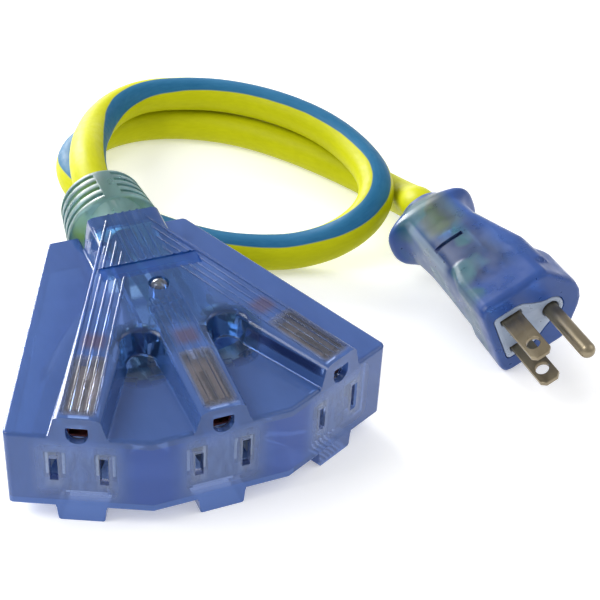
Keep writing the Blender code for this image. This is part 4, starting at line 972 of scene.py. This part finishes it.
def outlet_cutter(side):
    outside = -FAN_RADIUS - CUT_MARGIN
    inner_face = -FAN_RADIUS + FRONT_WALL
    behind = inner_face + CUT_MARGIN
    seat_rear = inner_face + INSERT_DEPTH + 2 * CUT_MARGIN
    joined = box((-INSERT_HALF - GAP, inner_face, INSERT_BOTTOM - GAP),
                 (INSERT_HALF + GAP, seat_rear, INSERT_TOP + GAP))
    tools = [box((-INSERT_CROWN_HALF - GAP, inner_face, SLOT_Z),
                 (INSERT_CROWN_HALF + GAP, CROWN_POCKET_REAR_Y, INSERT_CROWN_TOP + GAP)),
             ground_opening(outside, behind)]
    for side_of_ground, height in ((LINE_SIDE, LINE_SLOT_HEIGHT), (-LINE_SIDE, NEUTRAL_SLOT_HEIGHT)):
        middle = side_of_ground * SLOT_PITCH_HALF
        tools.append(box((middle - SLOT_WIDTH / 2, outside, SLOT_Z - height / 2),
                         (middle + SLOT_WIDTH / 2, behind, SLOT_Z + height / 2)))
    return move(boolean(joined, *tools, operation="UNION"), fan(side))


def make_block():
    body = bevel(plate(slab_outline(), SLAB_BOTTOM, SLAB_TOP), SLAB_BEVEL, 4)
    for upper in (True, False):
        ribs = rib_body(upper)
        trim_ribs(ribs)
        if upper:
            boolean(ribs, band_cutter())
            boolean(ribs, make_ridges(), operation="UNION")
        else:
            boolean(ribs, make_grooves())
        boolean(body, ribs, operation="UNION")
    rear = NECK_REAR_Y + CUT_MARGIN
    arc = [polar(CHAMBER_RADIUS, CHAMBER_ANGLE * (i / 12 - 1)) for i in range(25)]
    neck = [Vector((CROWN_HALF, CHAMBER_NECK_Y)), Vector((CROWN_HALF, rear)),
            Vector((-CROWN_HALF, rear)), Vector((-CROWN_HALF, CHAMBER_NECK_Y))]
    boolean(body, plate(arc + neck, CHAMBER_BOTTOM, CHAMBER_TOP),
            box((-CROWN_HALF, CROWN_FRONT_Y, CHAMBER_TOP - CUT_MARGIN), (CROWN_HALF, rear, CROWN_TOP)),
            *[outlet_cutter(side) for side in SIDES],
            cylinder(LAMP_DIAMETER + 2 * GAP, (0, LAMP_Y, CROWN_TOP - CUT_MARGIN),
                     (0, LAMP_Y, crest_height(LAMP_Y) + CUT_MARGIN)))
    move(body, Matrix.Translation(APEX))
    flat_normals(shade(body, 32))
    return publish(body, "block_body", blue_vinyl, "block_vinyl", "block_overmould")


# ---- strain relief

def relief_centre(y):
    share = (y - NECK_REAR_Y) / (RELIEF_END_Y - NECK_REAR_Y)
    return RELIEF_BASE_Z + (RELIEF_END_Z - RELIEF_BASE_Z) * share


def make_relief():
    start = NECK_REAR_Y + GAP
    shoulder = WING_REAR_Y + GAP
    tongue = (NOTCH_HALF - SLAB_BEVEL - GAP, RELIEF_TONGUE_HALF)
    rows = [(start, tongue), (shoulder - 0.1 * MM, tongue),
            (shoulder, tuple(h - 0.5 * MM for h in RELIEF_BASE)),
            (shoulder + 0.25 * MM, tuple(h - 0.12 * MM for h in RELIEF_BASE)),
            (shoulder + 0.6 * MM, RELIEF_BASE),
            (RELIEF_END_Y - 3.0 * MM, RELIEF_END)]
    for angle in quarter(6)[1:]:
        inset = 3.0 * MM * (1 - math.cos(angle))
        rows.append((RELIEF_END_Y - 3.0 * MM * (1 - math.sin(angle)), tuple(h - inset for h in RELIEF_END)))
    made = loft([ring((0, relief_centre(y)), half_x, half_z, y) for y, (half_x, half_z) in rows])
    boolean(made, cylinder(RELIEF_BORE, *[(0, y, relief_centre(y)) for y in
                                          (start - CUT_MARGIN, RELIEF_END_Y + CUT_MARGIN)]))
    for index in range(RELIEF_SLOTS):
        y = WING_REAR_Y + RELIEF_FIRST_SLOT + index * RELIEF_SLOT_PITCH
        centre = (0, relief_centre(y))
        share = (y - WING_REAR_Y) / (RELIEF_END_Y - WING_REAR_Y)
        half_x, half_z = (base + (end - base) * share for base, end in zip(RELIEF_BASE, RELIEF_END))
        floor_x, floor_z = half_x - RELIEF_SLOT_DEPTH, half_z - RELIEF_SLOT_DEPTH
        half_width = RELIEF_SLOT_WIDTH / 2
        core = loft([ring(centre, floor_x, floor_z, y + end * RELIEF_SLOT_WIDTH) for end in (-1, 1)])
        disc = loft([ring(centre, 2 * half_x, 2 * half_z, y + end * half_width) for end in (-1, 1)])
        boolean(disc, core, box((-RELIEF_SPINE_HALF, y - RELIEF_SLOT_PITCH, -FAR),
                                (RELIEF_SPINE_HALF, y + RELIEF_SLOT_PITCH, FAR)))
        boolean(made, disc)
    bevel(made, 0.18 * MM, 2, 50)
    move(made, Matrix.Translation(APEX))
    shade(made, 35)
    publish(made, "relief_body", teal_vinyl, "relief_vinyl", "block_strain_relief")


# ---- jacket ends inside the mouldings

def tube(start, end, outer, inner):
    made = cylinder(outer, start, end, 40)
    along = (Vector(end) - Vector(start)).normalized() * CUT_MARGIN
    boolean(made, cylinder(inner, Vector(start) - along, Vector(end) + along, 40))
    return shade(made, 40)


def make_sleeves():
    """The stripped jacket's thin ends, held inside the strain relief and inside the plug."""
    ends = [Vector((0, APEX_Y + y, relief_centre(y)))
            for y in (NECK_REAR_Y + 1.0 * MM, RELIEF_END_Y - 0.2 * MM)]
    made = tube(*ends, RELIEF_BORE - 0.2 * MM, RELIEF_BORE - 0.62 * MM)
    publish(made, "jacket_end_block", fine_jacket, "cord_vinyl")
    made = tube((PLUG_REAR + 0.4 * MM, 0, PLUG_AXIS_Z), (-38.5 * MM, 0, PLUG_AXIS_Z), PLUG_BORE - 0.2 * MM,
                PLUG_BORE - 0.62 * MM)
    return publish(move(made, PLUG_MATRIX), "jacket_end_plug", fine_jacket, "cord_vinyl")


# ---- pilot lamp

def spun(profile, sides=48):
    """A profile of radius and height about the Z axis; radii of zero close it."""
    bm = bmesh.new()
    angles = [2 * math.pi * i / sides for i in range(sides)]
    rings = [[bm.verts.new((radius * math.cos(a), radius * math.sin(a), height))
              for a in (angles if radius else angles[:1])] for radius, height in profile]
    for first, second in zip(rings[:-1], rings[1:]):
        for i in range(sides):
            j = (i + 1) % sides
            corners = [first[i % len(first)], first[j % len(first)], second[j % len(second)],
                       second[i % len(second)]]
            bm.faces.new(list(dict.fromkeys(corners)))
    return new_object(bm)


def make_lamp():
    """A clear domed lens with a rim, over a small bright cup."""
    top = crest_height(LAMP_Y) + LAMP_PROUD
    base = CROWN_TOP - LAMP_SEAT
    radius = LAMP_DIAMETER / 2
    hollow = radius * 0.62
    place = Matrix.Translation(APEX + Vector((0, LAMP_Y, 0)))
    lens = spun(dome(radius, top, 12) + [
        (radius, base + 0.2 * MM), (radius - 0.2 * MM, base), (hollow, base), (hollow, base + 3.2 * MM),
        (hollow * 0.7, base + 3.9 * MM), (0.0, base + 4.2 * MM)])
    publish(shade(move(lens, place), 40), "lamp_lens_dome", lens_look, "lamp_lens", "power_lamp")
    low = base + 0.5 * MM
    cup = spun([(0.0, low), (0.9 * MM, low), (1.15 * MM, low + 1.6 * MM), (1.25 * MM, low + 2.3 * MM),
                (1.0 * MM, low + 2.3 * MM), (0.75 * MM, low + 1.3 * MM), (0.0, low + 1.1 * MM)], 32)
    publish(shade(move(cup, place), 40), "lamp_cup", tinned, "lamp_lens")


# ---- plug

def plug_section(x, half_y, z_low, z_high, power):
    """A rounded rectangle, squarer with a higher power."""
    middle, half_z = (z_low + z_high) / 2, (z_high - z_low) / 2
    angles = [2 * math.pi * (i + 0.5) / ROUND_SIDES for i in range(ROUND_SIDES)]
    return [(x, *(centre + half * math.copysign(abs(share) ** (2 / power), share) for centre, half, share in
                  ((0.0, half_y, math.cos(a)), (middle, half_z, math.sin(a))))) for a in angles]


def flange_outline(across, upward):
    half = [Vector(p) * MM for p in FLANGE_HALF]
    return [Vector((p.x * across, FLANGE_MIDDLE_Z + (p.y - FLANGE_MIDDLE_Z) * upward))
            for p in half + mirror(half[1:-1])]


def carrier_shape(rear, front, grow):
    """The carrier's rounded outline from rear to front, wide at the blades and narrow at the pin."""
    top = GROUND_RISE + CARRIER_TOWER_RISE - CARRIER_TOWER_HALF
    half = [(CARRIER_HALF - CARRIER_CORNER + CARRIER_CORNER * math.cos(a - math.pi / 2),
             CARRIER_LOW + CARRIER_CORNER + CARRIER_CORNER * math.sin(a - math.pi / 2)) for a in quarter(5)]
    half += [(CARRIER_HALF, 2.6 * MM), (CARRIER_HALF - 0.5 * MM, 4.4 * MM), (6.2 * MM, 8.0 * MM),
             (5.0 * MM, 10.0 * MM)]
    half += [(CARRIER_TOWER_HALF * math.cos(a), top + CARRIER_TOWER_HALF * math.sin(a))
             for a in quarter(8)[:-1]]
    outline = [Vector(p) for p in half] + [Vector((0, top + CARRIER_TOWER_HALF))]
    outline = offset_outline(outline + mirror(outline[:-1]), grow)
    return loft([[(x, p.x, p.y) for p in outline] for x in (rear, front)])


def make_carrier():
    carrier = carrier_shape(-CARRIER_DEPTH, 0.0, 0.0)
    behind = -CARRIER_DEPTH - CUT_MARGIN
    half_y, half_z = BLADE_THICK / 2 + GAP, BLADE_WIDE / 2 + GAP
    boolean(carrier, *[box((behind, y - half_y, -half_z), (CUT_MARGIN, y + half_y, half_z))
                       for y in (-SLOT_PITCH_HALF, SLOT_PITCH_HALF)],
            cylinder(PIN_DIAMETER + 2 * GAP, (behind, 0, GROUND_RISE), (CUT_MARGIN, 0, GROUND_RISE), 40))
    bevel(carrier, 0.3 * MM, 2, 50)
    shade(move(carrier, PLUG_MATRIX), 35)
    return publish(carrier, "blade_carrier", nylon, "carrier_nylon", "plug_blade_carrier")


def make_plug():
    """The grip and its flange, melted into one soft moulding, then hollowed for what it holds."""
    table = np.array(GRIP_SECTIONS)
    stations = np.linspace(table[0, 0], table[-1, 0], 48)
    rows = [[x, *(float(np.interp(x, table[:, 0], table[:, c])) for c in range(1, 5))] for x in stations]
    grip = loft([plug_section(x * MM, y * MM, low * MM, high * MM, power) for x, y, low, high, power in rows])
    flange = loft([[(x * MM, p.x, p.y) for p in flange_outline(*shares)] for x, *shares in FLANGE_SECTIONS])
    boolean(grip, flange, operation="UNION")
    remesh = grip.modifiers.new("melt", "REMESH")
    remesh.mode = "VOXEL"
    remesh.voxel_size = PLUG_VOXEL
    soft = grip.modifiers.new("soft", "SMOOTH")
    soft.factor = 0.5
    soft.iterations = 2
    evaluated(grip)
    pocket_rear = -CARRIER_DEPTH - GAP
    boolean(grip, carrier_shape(pocket_rear, CUT_MARGIN, GAP))
    for side in (-1, 1):
        cut = sorted((side * GRIP_MARK_FLOOR, side * FAR))
        boolean(grip, box(*[(x, y, z) for x, y, z in zip(GRIP_MARK[0], cut, GRIP_MARK[1])]))
    inside = pocket_rear + CUT_MARGIN
    for rear, (low_y, high_y), (low_z, high_z) in PLUG_HOLLOWS:
        boolean(grip, box((rear * MM, low_y * MM, low_z * MM), (inside, high_y * MM, high_z * MM)))
    boolean(grip, *[cylinder(wide, (rear, 0, PLUG_AXIS_Z), (front, 0, PLUG_AXIS_Z)) for wide, rear, front in
                    ((PLUG_BORE, PLUG_REAR - CUT_MARGIN, PLUG_BORE_FRONT),
                     (CORD_DIAMETER + 0.4 * MM, PLUG_REAR - 5 * MM, PLUG_REAR))])
    shade(move(grip, PLUG_MATRIX), 38)
    return publish(grip, "plug_grip", plug_vinyl, "plug_vinyl", "plug_overmould")


def make_blade(kind, sign):
    """A stamped blade with chamfered tip corners, eased edges and a round hole."""
    half = BLADE_WIDE / 2
    near = BLADE_LONG - BLADE_CORNER
    outline = [(BLADE_TAIL, -half), (near, -half), (BLADE_LONG, -half + BLADE_CORNER),
               (BLADE_LONG, half - BLADE_CORNER), (near, half), (BLADE_TAIL, half)]
    made = plate(outline, -BLADE_THICK / 2, BLADE_THICK / 2)
    boolean(made, cylinder(BLADE_HOLE, (BLADE_HOLE_X, 0, -BLADE_WIDE), (BLADE_HOLE_X, 0, BLADE_WIDE), 32))
    bevel(made, 0.28 * MM, 3, 50)
    stand = Matrix.Rotation(math.pi / 2, 4, "X")
    move(made, PLUG_MATRIX @ Matrix.Translation((0, sign * SLOT_PITCH_HALF, 0)) @ stand)
    flat_normals(shade(made, 32))
    return publish(made, f"{kind}_blade_stamped", nickel, "plated_blade", f"{kind}_blade")


def make_ground_pin():
    """A folded pin: a round bar with a domed tip and the seam of its fold along one side."""
    radius = PIN_DIAMETER / 2
    made = spun(dome(radius, PIN_LONG, 10) + [(radius, BLADE_TAIL), (0.0, BLADE_TAIL)], 40)
    boolean(made, box((-PIN_SEAM_HALF, 0.9 * MM, 3.0 * MM),
                      (PIN_SEAM_HALF, radius + CUT_MARGIN, PIN_LONG - 1.2 * MM)))
    bevel(made, 0.15 * MM, 2, 50)
    move(made, PLUG_MATRIX @ Matrix.Translation((0, 0, GROUND_RISE)) @ Matrix.Rotation(math.pi / 2, 4, "Y")
         @ Matrix.Rotation(math.radians(-90), 4, "Z"))
    shade(made, 35)
    return publish(made, "ground_pin_folded", nickel, "plated_blade", "ground_pin")


# ---- CAD nodes that stay

def dress_nodes():
    """Procedural materials for the CAD solids that stay in view behind the clear mouldings."""
    rules = (("insert", insert_look), ("ground_contact", ground_copper), ("contact", pale_brass),
             ("bus", brass), ("crimp", brass), ("carrier", nylon),
             ("resistor_lead", tinned), ("lamp_lead", tinned),
             ("resistor", resistor_look), ("ground_wire", green_wire), ("line_wire", black_wire),
             ("neutral_wire", white_wire), ("overmould", blue_vinyl), ("relief", teal_vinyl),
             ("jacket", fine_jacket), ("blade", nickel), ("pin", nickel), ("lamp", lens_look))
    for name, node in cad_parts.items():
        look = next(look for word, look in rules if word in name)
        node.data.materials.clear()
        node.data.materials.append(look.material)


def main():
    make_camera()
    make_studio()
    jacket, path = make_cord()
    dress_nodes()
    make_block()
    make_relief()
    sleeve = make_sleeves()
    make_lamp()
    plug_pieces = [sleeve, make_plug(), make_carrier(), make_blade("line", 1), make_blade("neutral", -1),
                   make_ground_pin()]


main()
